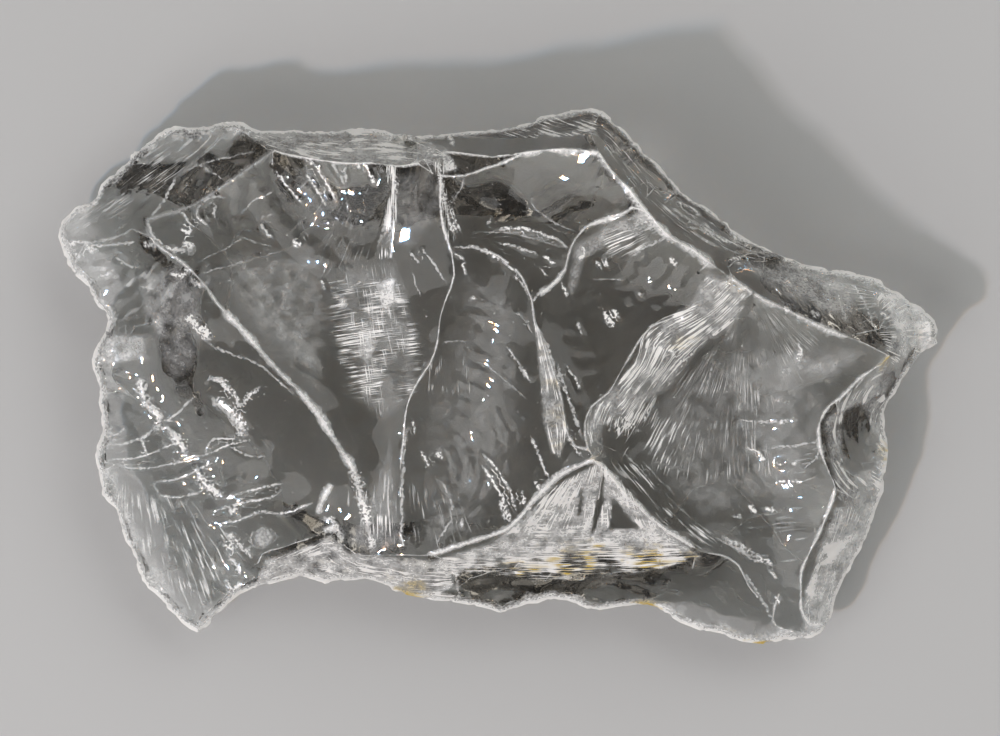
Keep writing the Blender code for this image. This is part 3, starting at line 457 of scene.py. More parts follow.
# Frosted and clear zones, each painted over the one before: side, whiteness, soft margin, corners.
# Some are painted light: the zones named glare are painted glare, and the lens and the long face hold
# painted sheen, white laid on the glass where a lamp would shine off it.
ZONES = {
    "crushed brow": (UP, 0.6, 0.6, [
        154, -122, 94, -158, 34, -208, -11, -248, -86, -269, 94, -253, 304, -269, 244, -218, 199, -173,
    ]),
    "dark window": (UP, 0.0, 0.25, [169, -173, 217, -227, 166, -229]),
    "gash": (UP, 0.0, 0.2, [151, -155, 160, -140, 160, -185, 149, -227, 137, -245, 142, -208]),
    "nick": (UP, 0.0, 0.15, [121, -167, 127, -164, 127, -203, 119, -215]),
    "shelf": (UP, 0.55, 0.4, [
        -124, -298, -101, -275, -26, -256, 94, -242, 214, -236, 304, -263, 214, -269, 94, -266, 19, -271,
        -26, -278, -71, -302,
    ]),
    "ledge": (UP, 0.0, 0.5, [
        -59, -311, 4, -301, 94, -311, 184, -308, 274, -290, 322, -275, 394, -335, 454, -395, 304, -395, 229,
        -335, 154, -347, 64, -332, 4, -347,
    ]),
    "west side": (UP, 0.5, 0.5, [
        -371, -329, -353, -275, -296, -257, -251, -236, -221, -263, -146, -269, -71, -275, -59, -335, -146,
        -335, -176, -313, -296, -302,
    ]),
    "dark side window": (UP, 0.0, 0.3, [-89, -326, -62, -311, -59, -331]),
    "north grain": (UP, 0.42, 0.5, [
        -392, 385, -296, 379, -146, 373, -68, 340, -86, 313, -161, 313, -236, 314, -311, 328, -364, 349,
    ]),
    "hinge haze": (UP, 0.12, 1.2, [-170, 310, -128, 310, -86, 325, -74, 257, -122, 190, -176, 190]),
    "hatched": (UP, 0.14, 1.2, [-244, 172, -146, 172, -116, 70, -119, -28, -169, -73, -206, -35, -229, 70]),
    # Painted glare: bright white frost laid where a lamp's glare lights the hatched face.
    "hatch glare east": (UP, 0.85, 0.8, [-184, 142, -152, 149, -148, 112, -170, 92]),
    "hatch glare west": (UP, 0.7, 0.6, [-239, 118, -224, 121, -221, 100, -238, 100]),
    "hatch glare south": (UP, 0.55, 0.8, [-209, 70, -182, 73, -179, 40, -197, 13, -211, 37]),
    # Partly dust specks, partly a painted sheen: a pale veil where a soft light's reflection lies on the
    # long face.
    "long face dust and sheen": (UP, 0.2, 3.0, [-424, 182, -266, 205, -244, 115, -259, -35, -311, 10, -386, 85]),
    "heart dust": (UP, 0.1, 3.0, [-64, 175, 34, 130, 49, -65, -26, -245, -131, -253, -124, -95, -79, 70]),
    "foot haze": (UP, 0.2, 1.2, [-188, -170, -158, -80, -140, -257, -182, -269, -229, -253]),
    "strip": (UP, 0.34, 0.3, [
        50, 106, 71, 47, 94, -23, 107, -80, 94, -122, 79, -113, 67, -65, 62, -5, 56, 55,
    ]),
    "fan haze": (UP, 0.34, 1.0, [
        304, 160, 379, 137, 361, 82, 304, 40, 262, -13, 232, -38, 196, -62, 163, -71, 155, -95, 164, -122,
        149, -127, 133, -110, 128, -73, 145, -38, 175, -8, 205, 28, 220, 67, 250, 88, 289, 115,
    ]),
    "bowl dust": (UP, 0.14, 2.5, [229, -35, 394, 70, 499, -35, 454, -185, 304, -215, 214, -140]),
    "right face sill": (UP, 0.3, 0.8, [
        112, 197, 154, 223, 214, 253, 229, 232, 187, 205, 131, 172, 112, 115, 101, 130,
    ]),
    "scoop rim": (UP, 0.35, 0.7, [
        484, -65, 529, -23, 583, 37, 598, -5, 580, -35, 593, -95, 583, -185, 559, -215, 514, -193, 496,
        -140,
    ]),
    "scoop pool": (UP, 0.0, 0.7, [511, -50, 547, -35, 574, -95, 571, -140, 529, -152, 511, -110]),
    "east wall": (UP, 0.5, 0.6, [
        502, -193, 574, -193, 547, -275, 496, -383, 458, -389, 457, -335, 481, -253,
    ]),
    # Painted glare: white frost laid where a lamp's glare lights the east wall.
    "glare": (UP, 1.0, 0.6, [472, -278, 490, -247, 532, -236, 517, -269, 487, -287]),
    "glare foot": (UP, 0.9, 0.5, [458, -323, 472, -296, 487, -293, 472, -338]),
    "crust": (UP, 0.6, 0.8, [562, 133, 604, 127, 661, 100, 661, 43, 611, 22, 574, 37, 592, 70]),
    "bowl veil": (UP, 0.26, 2.0, [394, 40, 529, 47, 559, 40, 499, -13, 416, -5]),
    # Painted sheen: a pale veil standing for the sky's reflection on the lens.
    "lens painted sheen": (UP, 0.4, 1.6, [346, 172, 454, 178, 544, 137, 529, 77, 439, 107]),
    "west pocket": (UP, 0.24, 1.6, [
        -544, 152, -476, 172, -440, 130, -437, 62, -452, 10, -488, -13, -514, 40, -533, 85,
    ]),
    "west notch veil": (UP, 0.35, 0.6, [-596, 70, -529, 62, -521, 25, -589, 17]),
    # Painted glare: white frost laid on a chip by the lip where light catches it.
    "chip glare": (UP, 0.85, 0.3, [-86, 340, -68, 328, -59, 307, -80, 302]),
    "bruise": (UP, 0.4, 0.5, [
        -365, -230, -370, -244, -362, -256, -349, -259, -337, -251, -334, -239, -341, -227, -353, -223,
    ]),
    "heel edge": (UP, 0.3, 1.2, [
        -592, -140, -569, -140, -544, -215, -499, -290, -461, -358, -506, -335, -569, -230,
    ]),
}

# Ochre stains: where, how wide and how strong.
STAINS = [
    (-130, -320, 2.2, 1.0), (35, -298, 2.6, 0.8), (145, -300, 3.0, 0.8), (230, -338, 1.8, 1.0),
    (365, -365, 2.0, 1.0), (395, -390, 1.6, 0.9), (580, 20, 1.8, 1.0), (120, -280, 4.0, 0.7),
    (220, -275, 3.0, 0.8), (295, -268, 1.8, 1.0), (575, -110, 2.0, 0.5), (270, 55, 1.8, 0.6),
    (63, 40, 1.2, 0.35), (74, -10, 1.6, 0.45), (90, -60, 2.0, 0.5), (94, -105, 1.6, 0.45),
    (155, -115, 1.8, 0.4), (50, 320, 1.2, 0.3),
]

# Smooth random mixes: for each part, its grain in millimetres, its seed and its share.
COMB_WAVER = ((6.0, 2, 0.35), (2.2, 3, 0.15))
COMB_PATCHES = ((4.0, 1, 1.1), (1.3, 7, 0.8))
MARK_WAVER = ((1.8, 4, 0.22), (0.8, 5, 0.12))
MARK_FADE = ((2.5, 6, 0.5),)
RIDGE_WANDER = ((3.2, 8, 0.7), (0.9, 9, 0.2))
CHIP_GRAIN = ((1.6, 11, 1.0), (0.7, 12, 0.6))
FACE_SWELL = ((8.0, 13, 0.10),)
FROST_PATCHES = ((1.5, 14, 0.9),)
STAIN_BLOTCH = (((3.0, 0.5, 1.0), 10, 1.6),)
SEED_SHIFT = (17.3, 5.1, 9.7)

# Shares that such a mix moves about: the usual one, the least and the most. A rim's wander is
# kept inside narrower limits, and a ridge is a little whiter than it is wide.
PATCHY = (0.85, 0.1, 1.4)
WANDERING = (0.85, 0.3, 1.3)
FADING = (0.75, 0.3, 1)
FROSTED = (1, 0.3, 1.5)
RIM_LIMITS = (0.75, 1.2)
EXTRA_WHITE = 0.2

# The faint frost all over, how much of a comb a clear zone wipes off, and a stain's core and how
# flat it lies.
FAINT_FROST = 0.02
WIPED = 0.9
STAIN_CORE, STAIN_FLATNESS = 1.2, 1.6

# Ranges that the glass maps, from low and high to low and high: the grain that wears ridges,
# crusts marks, breaks up haze and leaves dust, and the whiteness of lines, fibres and stains.
GRAIN_SCALE, FIBRE_SCALE, FIBRE_GAIN = 2400.0, 2.1, 0.2
WORN = (0.28, 0.72, -0.3, 0.3)
CRUSTED = (0.30, 0.70, -1.0, 1.0)
HAZE = (0.36, 0.66, 0.6, 1.08)
DUST = (0.71, 0.79, 0.0, 0.4)
LINE_EDGE = (0.1, 1.45, 1.0, 0.0)
FIBRE_EDGE = (0.63, 0.79, 0.0, 1.0)
FIBRE_FADE = (0.0, 0.8, 0.0, 1.0)
STAIN_FADE = (0.0, 0.6, 0.0, 1.0)
ROUGHNESS = (0.0, 1.0, 0.01, 0.45)
CLEARNESS = (0.0, 0.9, 1.0, 0.12)

# Lights: place and size in metres, share of the key power, colour. The main light is three narrow
# strips side by side, warm to cool, so that glints have coloured edges as they do in cut glass, and
# a large soft one beside them.
WHITE = (1, 1, 1)
STRIP = (0.02, 0.07)
LIGHTS = {
    "warm strip": ((-0.446, -0.474, 0.80), STRIP, 0.18, (1.0, 0.5, 0.22)),
    "white strip": ((-0.46, -0.46, 0.80), STRIP, 0.18, (1.0, 1.05, 1.0)),
    "cool strip": ((-0.474, -0.446, 0.80), STRIP, 0.18, (0.25, 0.55, 1.0)),
    "soft light": ((-0.46, -0.46, 0.80), (0.8, 0.8), 0.43, WHITE),
    "fill light": ((0.50, 0.55, 0.62), (0.95, 0.95), 0.4, WHITE),
}
LIT_PLACE = (0, 0, 0.01)

# The sky brightens from the horizon up, and dims straight overhead, where the camera is.
SKY_RISE = (0.0, 0.35, 0.15)
SKY_TOP = (0.80, 0.97, 1.0, 0.12)

# The camera's place over the lump, in millimetres, with the height of the lump's belt.
CAMERA_ASIDE = (0.375, 1.275)
BELT = 12

# The camera's sensor in millimetres, and how far it sees in metres.
SENSOR_WIDTH = 36.0
SIGHT = 10

# The floor: half its width in metres, how far it lies under the lump in millimetres, and its finish.
FLOOR_REACH = 1.5
FLOOR_GAP = 0.15
FLOOR_ROUGHNESS = 0.85

# The view's gamma and exposure, for contrast on a pale floor.
GAMMA, EXPOSURE = 0.8, 0.2


def copy_of_node():
    """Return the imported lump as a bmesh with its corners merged."""
    lump = bmesh.new()
    lump.from_mesh(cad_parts[NODE].data)
    bmesh.ops.remove_doubles(lump, verts=lump.verts, dist=TINY * MM)
    lump.faces.ensure_lookup_table()
    return lump


def places(run):
    """Return points in millimetres from a run of x and y in tenths."""
    return [(x / 10, y / 10) for x, y in zip(run[::2], run[1::2])]


def name_faces(lump):
    """Grow every face of the lump from its places, slow to cross a bend, and keep it as a slot number."""
    middles = [triangle.calc_center_median() / MM for triangle in lump.faces]
    upward = [triangle.normal.z > 0 for triangle in lump.faces]
    best = [math.inf] * len(lump.faces)
    queue = []
    for number, (side, run) in enumerate(FACES.values()):
        for x, y in places(run):
            near = min(
                (index for index in range(len(middles)) if upward[index] == side),
                key=lambda index: (middles[index].x - x) ** 2 + (middles[index].y - y) ** 2,
            )
            heapq.heappush(queue, (0.0, near, number))
    while queue:
        cost, index, number = heapq.heappop(queue)
        if cost >= best[index]:
            continue
        best[index] = cost
        triangle = lump.faces[index]
        triangle.material_index = number
        for edge in triangle.edges:
            bend = math.degrees(edge.calc_face_angle(0.0))
            for other in edge.link_faces:
                if other is not triangle:
                    step = (middles[index] - middles[other.index]).length
                    step += BEND_COST * max(0.0, bend - EASY_BEND)
                    if cost + step < best[other.index]:
                        heapq.heappush(queue, (cost + step, other.index, number))


def fine_lump(lump, cuts, rounding):
    """Divide the lump's faces, and round them off between its ridges, which stay sharp."""
    for edge in lump.edges:
        bend = edge.calc_face_angle(0.0)
        border = len({triangle.material_index for triangle in edge.link_faces}) > 1
        edge.smooth = bend < (RIDGE_BEND if border else CORNER_BEND)
    bmesh.ops.subdivide_edges(lump, edges=lump.edges, cuts=cuts, use_grid_fill=True)
    free = [corner for corner in lump.verts if all(edge.smooth for edge in corner.link_edges)]
    for _ in range(rounding):
        bmesh.ops.smooth_vert(
            lump, verts=free, factor=0.5, use_axis_x=True, use_axis_y=True, use_axis_z=True,
        )
    for triangle in lump.faces:
        triangle.smooth = True


class Skin:
    """The lump's fine mesh as arrays, in millimetres, while its relief and frost are worked out."""

    def __init__(self, mesh):
        count = len(mesh.vertices)
        spots = np.empty(count * 3)
        mesh.vertices.foreach_get("co", spots)
        self.spots = spots.reshape(-1, 3) / MM
        normals = np.empty(count * 3)
        mesh.vertex_normals.foreach_get("vector", normals)
        self.normals = normals.reshape(-1, 3)
        self.faces = [set() for _ in range(count)]
        for triangle in mesh.polygons:
            for corner in triangle.vertices:
                self.faces[corner].add(triangle.material_index)
        self.up = np.array([min(faces) < SEAT for faces in self.faces])
        self.seat = np.array([SEAT in faces for faces in self.faces])
        sharp = (edge for edge in mesh.edges if edge.use_edge_sharp)
        self.ridge = sorted({corner for edge in sharp for corner in edge.vertices})
        self.rise = np.zeros(count)
        self.frost = np.zeros(count)
        self.stain = np.zeros(count)
        self.from_ridge = self.distance_from(self.ridge)

    def distance_from(self, numbers):
        """Return how far every point is from the nearest of some points."""
        if not numbers:
            return np.full(len(self.spots), math.inf)
        tree = kdtree.KDTree(len(numbers))
        for number in numbers:
            tree.insert(self.spots[number], number)
        tree.balance()
        return np.array([tree.find(spot)[2] for spot in self.spots])

    def noise(self, mix):
        """Return a smooth random mix at every point; a part runs from about minus to plus its share."""
        total = 0
        for size, seed, share in mix:
            shift = seed * np.array(SEED_SHIFT)
            total += share * np.array([noise.noise(spot) for spot in self.spots / np.array(size) + shift])
        return total

    def share(self, mix, usual, least, most):
        """Return a share at every point, moved about by a smooth random mix."""
        return np.clip(usual + self.noise(mix), least, most)

    def near(self, side, points, reach):
        """Return the numbers of the points on one side and within reach of a box round some points."""
        low = np.min(points, axis=0) - reach
        high = np.max(points, axis=0) + reach
        plan = self.spots[:, :2]
        return np.flatnonzero((self.up == side) & np.all((plan > low) & (plan < high), axis=1))

    def region(self, side, corners, soft):
        """Return the points in a region and how far in: 0 at its border, 1 past a soft margin."""
        chosen = self.near(side, corners, 0.0)
        plan = self.spots[chosen, :2]
        depth = np.minimum(line_distance(plan, list(corners) + [corners[0]])[0] / soft, 1)
        inside = np.zeros(len(chosen), bool)
        for (x, y), (x_next, y_next) in zip(corners, corners[1:] + corners[:1]):
            if y != y_next:
                crossing = (y_next - y) * (plan[:, 0] - x) < (plan[:, 1] - y) * (x_next - x)
                inside ^= ((plan[:, 1] >= y) != (plan[:, 1] >= y_next)) & (crossing == (y_next > y))
        return chosen[inside], depth[inside]


def line_distance(plan, line):
    """Return how far points are from a line, the side they are on and how far along it, from 0 to 1."""
    best = np.full(len(plan), math.inf)
    side = np.ones(len(plan))
    along = np.zeros(len(plan))
    for index, (start, end) in enumerate(zip(line, line[1:])):
        start = np.array(start)
        run = np.array(end) - start
        share = np.clip((plan - start) @ run / (run @ run), 0, 1)
        away = plan - start - share[:, None] * run
        distance = np.hypot(away[:, 0], away[:, 1])
        nearer = distance < best
        best[nearer] = distance[nearer]
        side[nearer] = np.where(run[0] * away[nearer, 1] > run[1] * away[nearer, 0], 1, -1)
        along[nearer] = (index + share[nearer]) / (len(line) - 1)
    return best, side, along


def bent_line(points, steps=4):
    """Return points along a smooth line through some points."""
    if len(points) < 3:
        return points
    padded = [points[0], *points, points[-1]]
    line = []
    for before, start, end, after in zip(padded, padded[1:], padded[2:], padded[3:]):
        before, start, end, after = (np.array(point) for point in (before, start, end, after))
        for step in range(steps):
            t = step / steps
            line.append(0.5 * (
                2 * start + (end - before) * t + (2 * before - 5 * start + 4 * end - after) * t ** 2
                + (3 * start - before - 3 * end + after) * t ** 3
            ))
    return [*line, np.array(points[-1])]


def comb_place(plan, kind, source, gap):
    """Return how many lines of a comb lie before each point, and how far along them it is."""
    if kind == "guides":
        guides = [places(guide) for guide in source]
        (first, _, along), (second, _, _) = (line_distance(plan, bent_line(guide)) for guide in guides)
        length = np.linalg.norm(np.diff(guides[0], axis=0), axis=1).sum()
        return gap * first / (first + second + TINY), length * along
    reach = plan - np.array(places(source)[0])
    radius = np.hypot(reach[:, 0], reach[:, 1])
    turn = np.arctan2(reach[:, 0], -reach[:, 1])
    if kind == "rings":
        return radius / gap, turn * radius.mean()
    return np.degrees(turn) / gap, radius


def add_combs(skin, strength):
    """Raise the combs' lines, and return where each point is among them and how white they are."""
    waver = skin.noise(COMB_WAVER)
    patches = skin.share(COMB_PATCHES, *PATCHY)
    layers = [np.zeros((len(skin.spots), 3)), np.zeros((len(skin.spots), 3))]
    clear = np.clip(skin.from_ridge / COMB_FADE, 0, 1)
    for side, layer, kind, source, gap, height, narrow, white, soft, corners in COMBS.values():
        chosen, depth = skin.region(side, places(corners), soft)
        phase, along = comb_place(skin.spots[chosen, :2], kind, source, gap)
        phase += waver[chosen]
        each = MIDDLE_HEIGHT + HEIGHT_RANGE * np.sin(np.floor(phase + 0.5) * HEIGHT_TURN)
        crest = (0.5 + 0.5 * np.cos(math.tau * phase)) ** narrow
        skin.rise[chosen] += strength * height * crest * each * depth * patches[chosen] * clear[chosen]
        whiteness = white * depth * patches[chosen]
        stronger = whiteness > layers[layer][chosen, 2]
        layers[layer][chosen[stronger]] = np.stack((phase, along / STREAK, whiteness), 1)[stronger]
    return layers


def add_marks(skin, strength):
    """Raise single lines and steps, and return distance, half width and whiteness at every point."""
    waver = skin.noise(MARK_WAVER)
    fade = skin.share(MARK_FADE, *FADING)
    found = np.tile(NO_LINE, (len(skin.spots), 1))
    for side, width, white, rise, step, lines in MARKS.values():
        reach = 1.0 + 2 * width
        for run in lines:
            line = bent_line(places(run))
            near = skin.near(side, line, max(reach, MARK_REACH))
            away, hand, along = line_distance(skin.spots[near, :2], line)
            away = away * hand + waver[near]
            taper = np.clip(np.minimum(along, 1 - along) * END_SLOPE + END_STRENGTH, 0, 1)
            taper = taper * (np.abs(away) < MARK_REACH)
            ridge = rise * np.exp(-((away / (CREST_LEAST + CREST_SHARE * width)) ** 2))
            shelf = step * np.clip(away / STEP_RISE, 0, 1) * np.exp(-np.maximum(away, 0) / STEP_FALL)
            skin.rise[near] += strength * (ridge + shelf) * taper
            width_here = width * (END_WIDTH + (1 - END_WIDTH) * taper)
            inside = np.abs(away) < reach
            better = inside & (np.abs(away) / width_here < np.abs(found[near, 0]) / found[near, 1])
            kept = near[better]
            found[kept, 0] = away[better]
            found[kept, 1] = width_here[better]
            whiteness = white * taper * np.clip((reach - np.abs(away)) / (0.5 * reach), 0, 1)
            found[kept, 2] = (whiteness * fade[near])[better]
    return found


def ridge_frost(skin):
    """Return, at every point, how far the nearest ridge is, its half width and how white it is."""
    kinds = {}
    for number in skin.ridge:
        faces = skin.faces[number]
        kind = UNDER_RIDGE if min(faces) >= SEAT else PLAIN_RIDGE
        if min(faces) < SEAT <= max(faces):
            kind = RIM
        for (first, second), special in WHITE_RIDGES.items():
            if {FACE_NUMBER[first], FACE_NUMBER[second]} <= faces and kind is not RIM:
                kind = special
        kinds.setdefault(kind, []).append(number)
    found = np.tile(NO_LINE, (len(skin.spots), 1))
    vary = skin.share(RIDGE_WANDER, *WANDERING)
    for (width, white), numbers in kinds.items():
        away = skin.distance_from(numbers)
        better = away / width < found[:, 0] / found[:, 1]
        found[better, 0] = away[better]
        wander = np.clip(vary, *RIM_LIMITS) if (width, white) == RIM else vary
        found[better, 1] = (width * wander)[better]
        found[better, 2] = white * np.minimum(wander[better] + EXTRA_WHITE, 1)
    return found


def add_chips(skin, depth):
    """Nick the ridges and the rim, and swell the faces a little."""
    near = np.clip(1 - skin.from_ridge, 0, 1) ** CHIP_FALL
    skin.rise -= depth * near * np.clip(CHIP_GAIN * skin.noise(CHIP_GRAIN) - CHIP_PASS, 0, 1)
    skin.rise += skin.noise(FACE_SWELL) * np.clip(skin.from_ridge / SWELL_FADE, 0, 1)


def add_zones(skin, layers):
    """Paint frosted and clear zones, painted glare and sheen among them, one over another,
    wipe lines off the clear ones, and add stains.
    """
    skin.frost[:] = FAINT_FROST
    for side, level, soft, corners in ZONES.values():
        chosen, depth = skin.region(side, places(corners), soft)
        skin.frost[chosen] += (level - skin.frost[chosen]) * depth
        if level == 0:
            for layer in layers:
                layer[chosen, 2] *= 1 - WIPED * depth
    skin.frost *= skin.share(FROST_PATCHES, *FROSTED)
    blotch = skin.noise(STAIN_BLOTCH)
    for x, y, width, level in STAINS:
        distance = np.hypot(skin.spots[:, 0] - x / 10, STAIN_FLATNESS * (skin.spots[:, 1] - y / 10))
        spot = level * np.clip(STAIN_CORE - distance / width + blotch, 0, 1)
        skin.stain = np.maximum(skin.stain, np.where(skin.up, spot, 0))


def material_nodes(name):
    """Return a new material and its node tree, empty but for its output."""
    material = bpy.data.materials.new(name)
    material.use_nodes = True
    tree = material.node_tree
    tree.nodes.remove(tree.nodes["Principled BSDF"])
    return material, tree


def add_node(tree, kind, inputs=None, **settings):
    """Add a node, set its settings and set or link its inputs."""
    made = tree.nodes.new(kind)
    for name, value in settings.items():
        setattr(made, name, value)
    for name, value in (inputs or {}).items():
        if isinstance(value, bpy.types.NodeSocket):
            tree.links.new(value, made.inputs[name])
        else:
            made.inputs[name].default_value = value
    return made


def maths(tree, operation, *values, clamp=False):
    """Return a socket with one sum on values or sockets."""
    inputs = dict(enumerate(values))
    return add_node(tree, "ShaderNodeMath", inputs, operation=operation, use_clamp=clamp).outputs[0]


def blend_colour(tree, share, first, second):
    """Return a socket with a mix of two colours, each a value or a socket."""
    return add_node(tree, "ShaderNodeMix", {0: share, 6: first, 7: second}, data_type="RGBA").outputs[2]


def stretch(tree, value, *limits):
    """Return a socket with a value mapped from low and high to another low and high, kept inside them."""
    return add_node(tree, "ShaderNodeMapRange", dict(enumerate((value, *limits)))).outputs[0]


def three_values(tree, name):
    """Return sockets with the three values of an attribute."""
    vector = add_node(tree, "ShaderNodeAttribute", attribute_name=name).outputs["Vector"]
    return add_node(tree, "ShaderNodeSeparateXYZ", {0: vector}).outputs


def white_line(tree, name, ragged):
    """Return a socket with the whiteness of lines, from their distance, half width and strength."""
    away, width, strength = three_values(tree, name)
    share = maths(tree, "DIVIDE", maths(tree, "ABSOLUTE", away), width)
    return maths(tree, "MULTIPLY", stretch(tree, maths(tree, "ADD", share, ragged), *LINE_EDGE), strength)


def white_fibres(tree, name):
    """Return a socket with the whiteness of a comb's fibres, which thicken with its strength."""
    place = add_node(tree, "ShaderNodeAttribute", attribute_name=name).outputs["Vector"]
    strength = add_node(tree, "ShaderNodeSeparateXYZ", {0: place}).outputs[2]
    look = {"Vector": place, "Scale": FIBRE_SCALE, "Detail": 1.0}
    fibres = add_node(tree, "ShaderNodeTexNoise", look, noise_dimensions="2D").outputs[0]
    drawn = stretch(tree, maths(tree, "MULTIPLY_ADD", strength, FIBRE_GAIN, fibres), *FIBRE_EDGE)
    return maths(tree, "MULTIPLY", drawn, stretch(tree, strength, *FIBRE_FADE))


def glass_material(look):
    """Make the clear glass: frost, fibres, ridges, stains, and painted glints, glare and sheen."""
    material, tree = material_nodes("clear glass")
    place = add_node(tree, "ShaderNodeTexCoord").outputs["Object"]
    speckle = {"Vector": place, "Scale": GRAIN_SCALE, "Detail": 1.0}
    grain = add_node(tree, "ShaderNodeTexNoise", speckle).outputs[0]
    worn = stretch(tree, grain, *WORN)
    crusted = stretch(tree, grain, *CRUSTED)
    # The frost attribute also carries painted glare and sheen, and the mark lines painted glints and
    # highlights.
    frost = add_node(tree, "ShaderNodeAttribute", attribute_name="frost").outputs["Fac"]
    stain = add_node(tree, "ShaderNodeAttribute", attribute_name="stain").outputs["Fac"]
    haze = maths(tree, "MULTIPLY", frost, stretch(tree, grain, *HAZE))
    haze = maths(tree, "MAXIMUM", haze, stretch(tree, grain, *DUST))
    weave = white_fibres(tree, "weave")
    fibres = maths(tree, "MAXIMUM", white_fibres(tree, "comb"), weave)
    line = maths(tree, "MAXIMUM", white_line(tree, "ridge", worn), white_line(tree, "mark", crusted))
    white = maths(tree, "MAXIMUM", maths(tree, "MAXIMUM", fibres, line), haze, clamp=True)
    body = blend_colour(tree, white, (*look.clear_tint, 1), (*look.frost_tint, 1))
    stainable = maths(tree, "MAXIMUM", maths(tree, "MAXIMUM", weave, haze), line)
    stained = maths(tree, "MULTIPLY", stretch(tree, stain, *STAIN_FADE), stainable)
    colour = blend_colour(tree, stained, body, (*look.stain_tint, 1))
    shader = add_node(tree, "ShaderNodeBsdfPrincipled", {
        "Base Color": colour,
        "Roughness": stretch(tree, white, *ROUGHNESS),
        "Transmission Weight": stretch(tree, white, *CLEARNESS),
        "IOR": look.refraction,
    })
    dark = {"Color": (*look.depth_tint, 1), "Density": look.depth_density}
    depth = add_node(tree, "ShaderNodeVolumeAbsorption", dark)
    output = tree.nodes["Material Output"]
    tree.links.new(shader.outputs[0], output.inputs["Surface"])
    tree.links.new(depth.outputs[0], output.inputs["Volume"])
    return material


class LumpLook(PropertyGroup):
    """Sizes and colours of the lump."""

    cuts: IntProperty(name="Cuts", description="How finely each face of the lump is divided",
                      default=4, min=1, max=5)
    rounding: IntProperty(name="Rounding", description="Passes that round the faces between ridges",
                          default=40, min=0)
    relief: FloatProperty(name="Relief", description="Strength of ripples, hackles and steps",
                          default=1.0, min=0)
    chip_depth: FloatProperty(name="Chip Depth", description="Deepest nick in a ridge", default=0.34 * MM,
                              min=0, subtype="DISTANCE", unit="LENGTH")
    clear_tint: FloatVectorProperty(name="Clear Tint", description="Colour of the clear glass",
                                    default=(0.97, 0.985, 0.98), min=0, max=1, subtype="COLOR")
    refraction: FloatProperty(name="Refraction", description="How strongly the glass bends light",
                              default=1.5, min=1)
    frost_tint: FloatVectorProperty(name="Frost Tint", description="Colour of chipped, frosted glass",
                                    default=(0.92, 0.905, 0.87), min=0, max=1, subtype="COLOR")
    stain_tint: FloatVectorProperty(name="Stain Tint", description="Colour of the ochre stains",
                                    default=(0.60, 0.44, 0.09), min=0, max=1, subtype="COLOR")
    depth_tint: FloatVectorProperty(name="Depth Tint", description="Colour that thick glass turns to",
                                    default=(0.74, 0.72, 0.69), min=0, max=1, subtype="COLOR")
    depth_density: FloatProperty(name="Depth Density", default=62.0, min=0,
                                 description="How fast glass darkens with depth, per metre")


class StageLook(PropertyGroup):
    """Floor, lights and camera."""

    floor_colour: FloatVectorProperty(name="Floor Colour", description="Colour of the plain floor",
                                      default=(0.52, 0.52, 0.51), min=0, max=1, subtype="COLOR")
    camera_height: FloatProperty(name="Camera Height", description="Height of the camera above the belt",
                                 default=1.5, min=0.5, subtype="DISTANCE", unit="LENGTH")
    view_width: FloatProperty(name="View Width", description="Width of what the camera sees at the belt",
                              default=0.150, min=0.05, subtype="DISTANCE", unit="LENGTH")
    key_power: FloatProperty(name="Key Power", description="Power of the main light", default=7.2,
                             min=0, subtype="POWER", unit="POWER")
    sky_strength: FloatProperty(name="Sky Strength", description="Brightness of the soft light all round",
                                default=0.48, min=0)


class CRYSTAL_OT_lump(Operator):
    """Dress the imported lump: ripples, steps, chips, frost and clear glass"""

    bl_idname = "crystal.lump"
    bl_label = "Add Lump"

    def execute(self, context):
        look = context.scene.crystal_lump
        lump = copy_of_node()
        name_faces(lump)
        fine_lump(lump, look.cuts, look.rounding)
        mesh = bpy.data.meshes.new("glass_lump")
        lump.to_mesh(mesh)
        lump.free()
        skin = Skin(mesh)
        comb, weave = add_combs(skin, look.relief)
        mark = add_marks(skin, look.relief)
        add_chips(skin, look.chip_depth / MM)
        add_zones(skin, (comb, weave))
        skin.rise[skin.seat] = 0
        spots = (skin.spots + skin.normals * skin.rise[:, None]) * MM
        spots[:, 2] = np.maximum(spots[:, 2], CAD_LOW.z)
        mesh.vertices.foreach_set("co", spots.ravel())
        # The frost holds painted glare and sheen beside real frost, and the mark painted glints beside real
        # lines.
        for name, values in (("frost", skin.frost), ("stain", skin.stain)):
            mesh.attributes.new(name, "FLOAT", "POINT").data.foreach_set("value", values)
        ridge = ridge_frost(skin)
        for name, values in (("comb", comb), ("weave", weave), ("mark", mark), ("ridge", ridge)):
            mesh.attributes.new(name, "FLOAT_VECTOR", "POINT").data.foreach_set("vector", values.ravel())
        mesh.polygons.foreach_set("material_index", [0] * len(mesh.polygons))
        mesh.materials.append(glass_material(look))
        mesh.update()
        piece = bpy.data.objects.new("glass_lump", mesh)
        context.scene.collection.objects.link(piece)
        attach(piece, "root")
        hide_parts(NODE)
        return {"FINISHED"}


def soft_light(name, place, size, power, colour):
    """Add a soft rectangular light that faces the lump."""
    lamp = bpy.data.lights.new(name, "AREA")
    lamp.shape = "RECTANGLE"
    lamp.size, lamp.size_y = size
    lamp.energy = power
    lamp.color = colour
    light = bpy.data.objects.new(name, lamp)
    light.location = place
    light.rotation_euler = (Vector(place) - Vector(LIT_PLACE)).to_track_quat("Z", "Y").to_euler()
    bpy.context.scene.collection.objects.link(light)


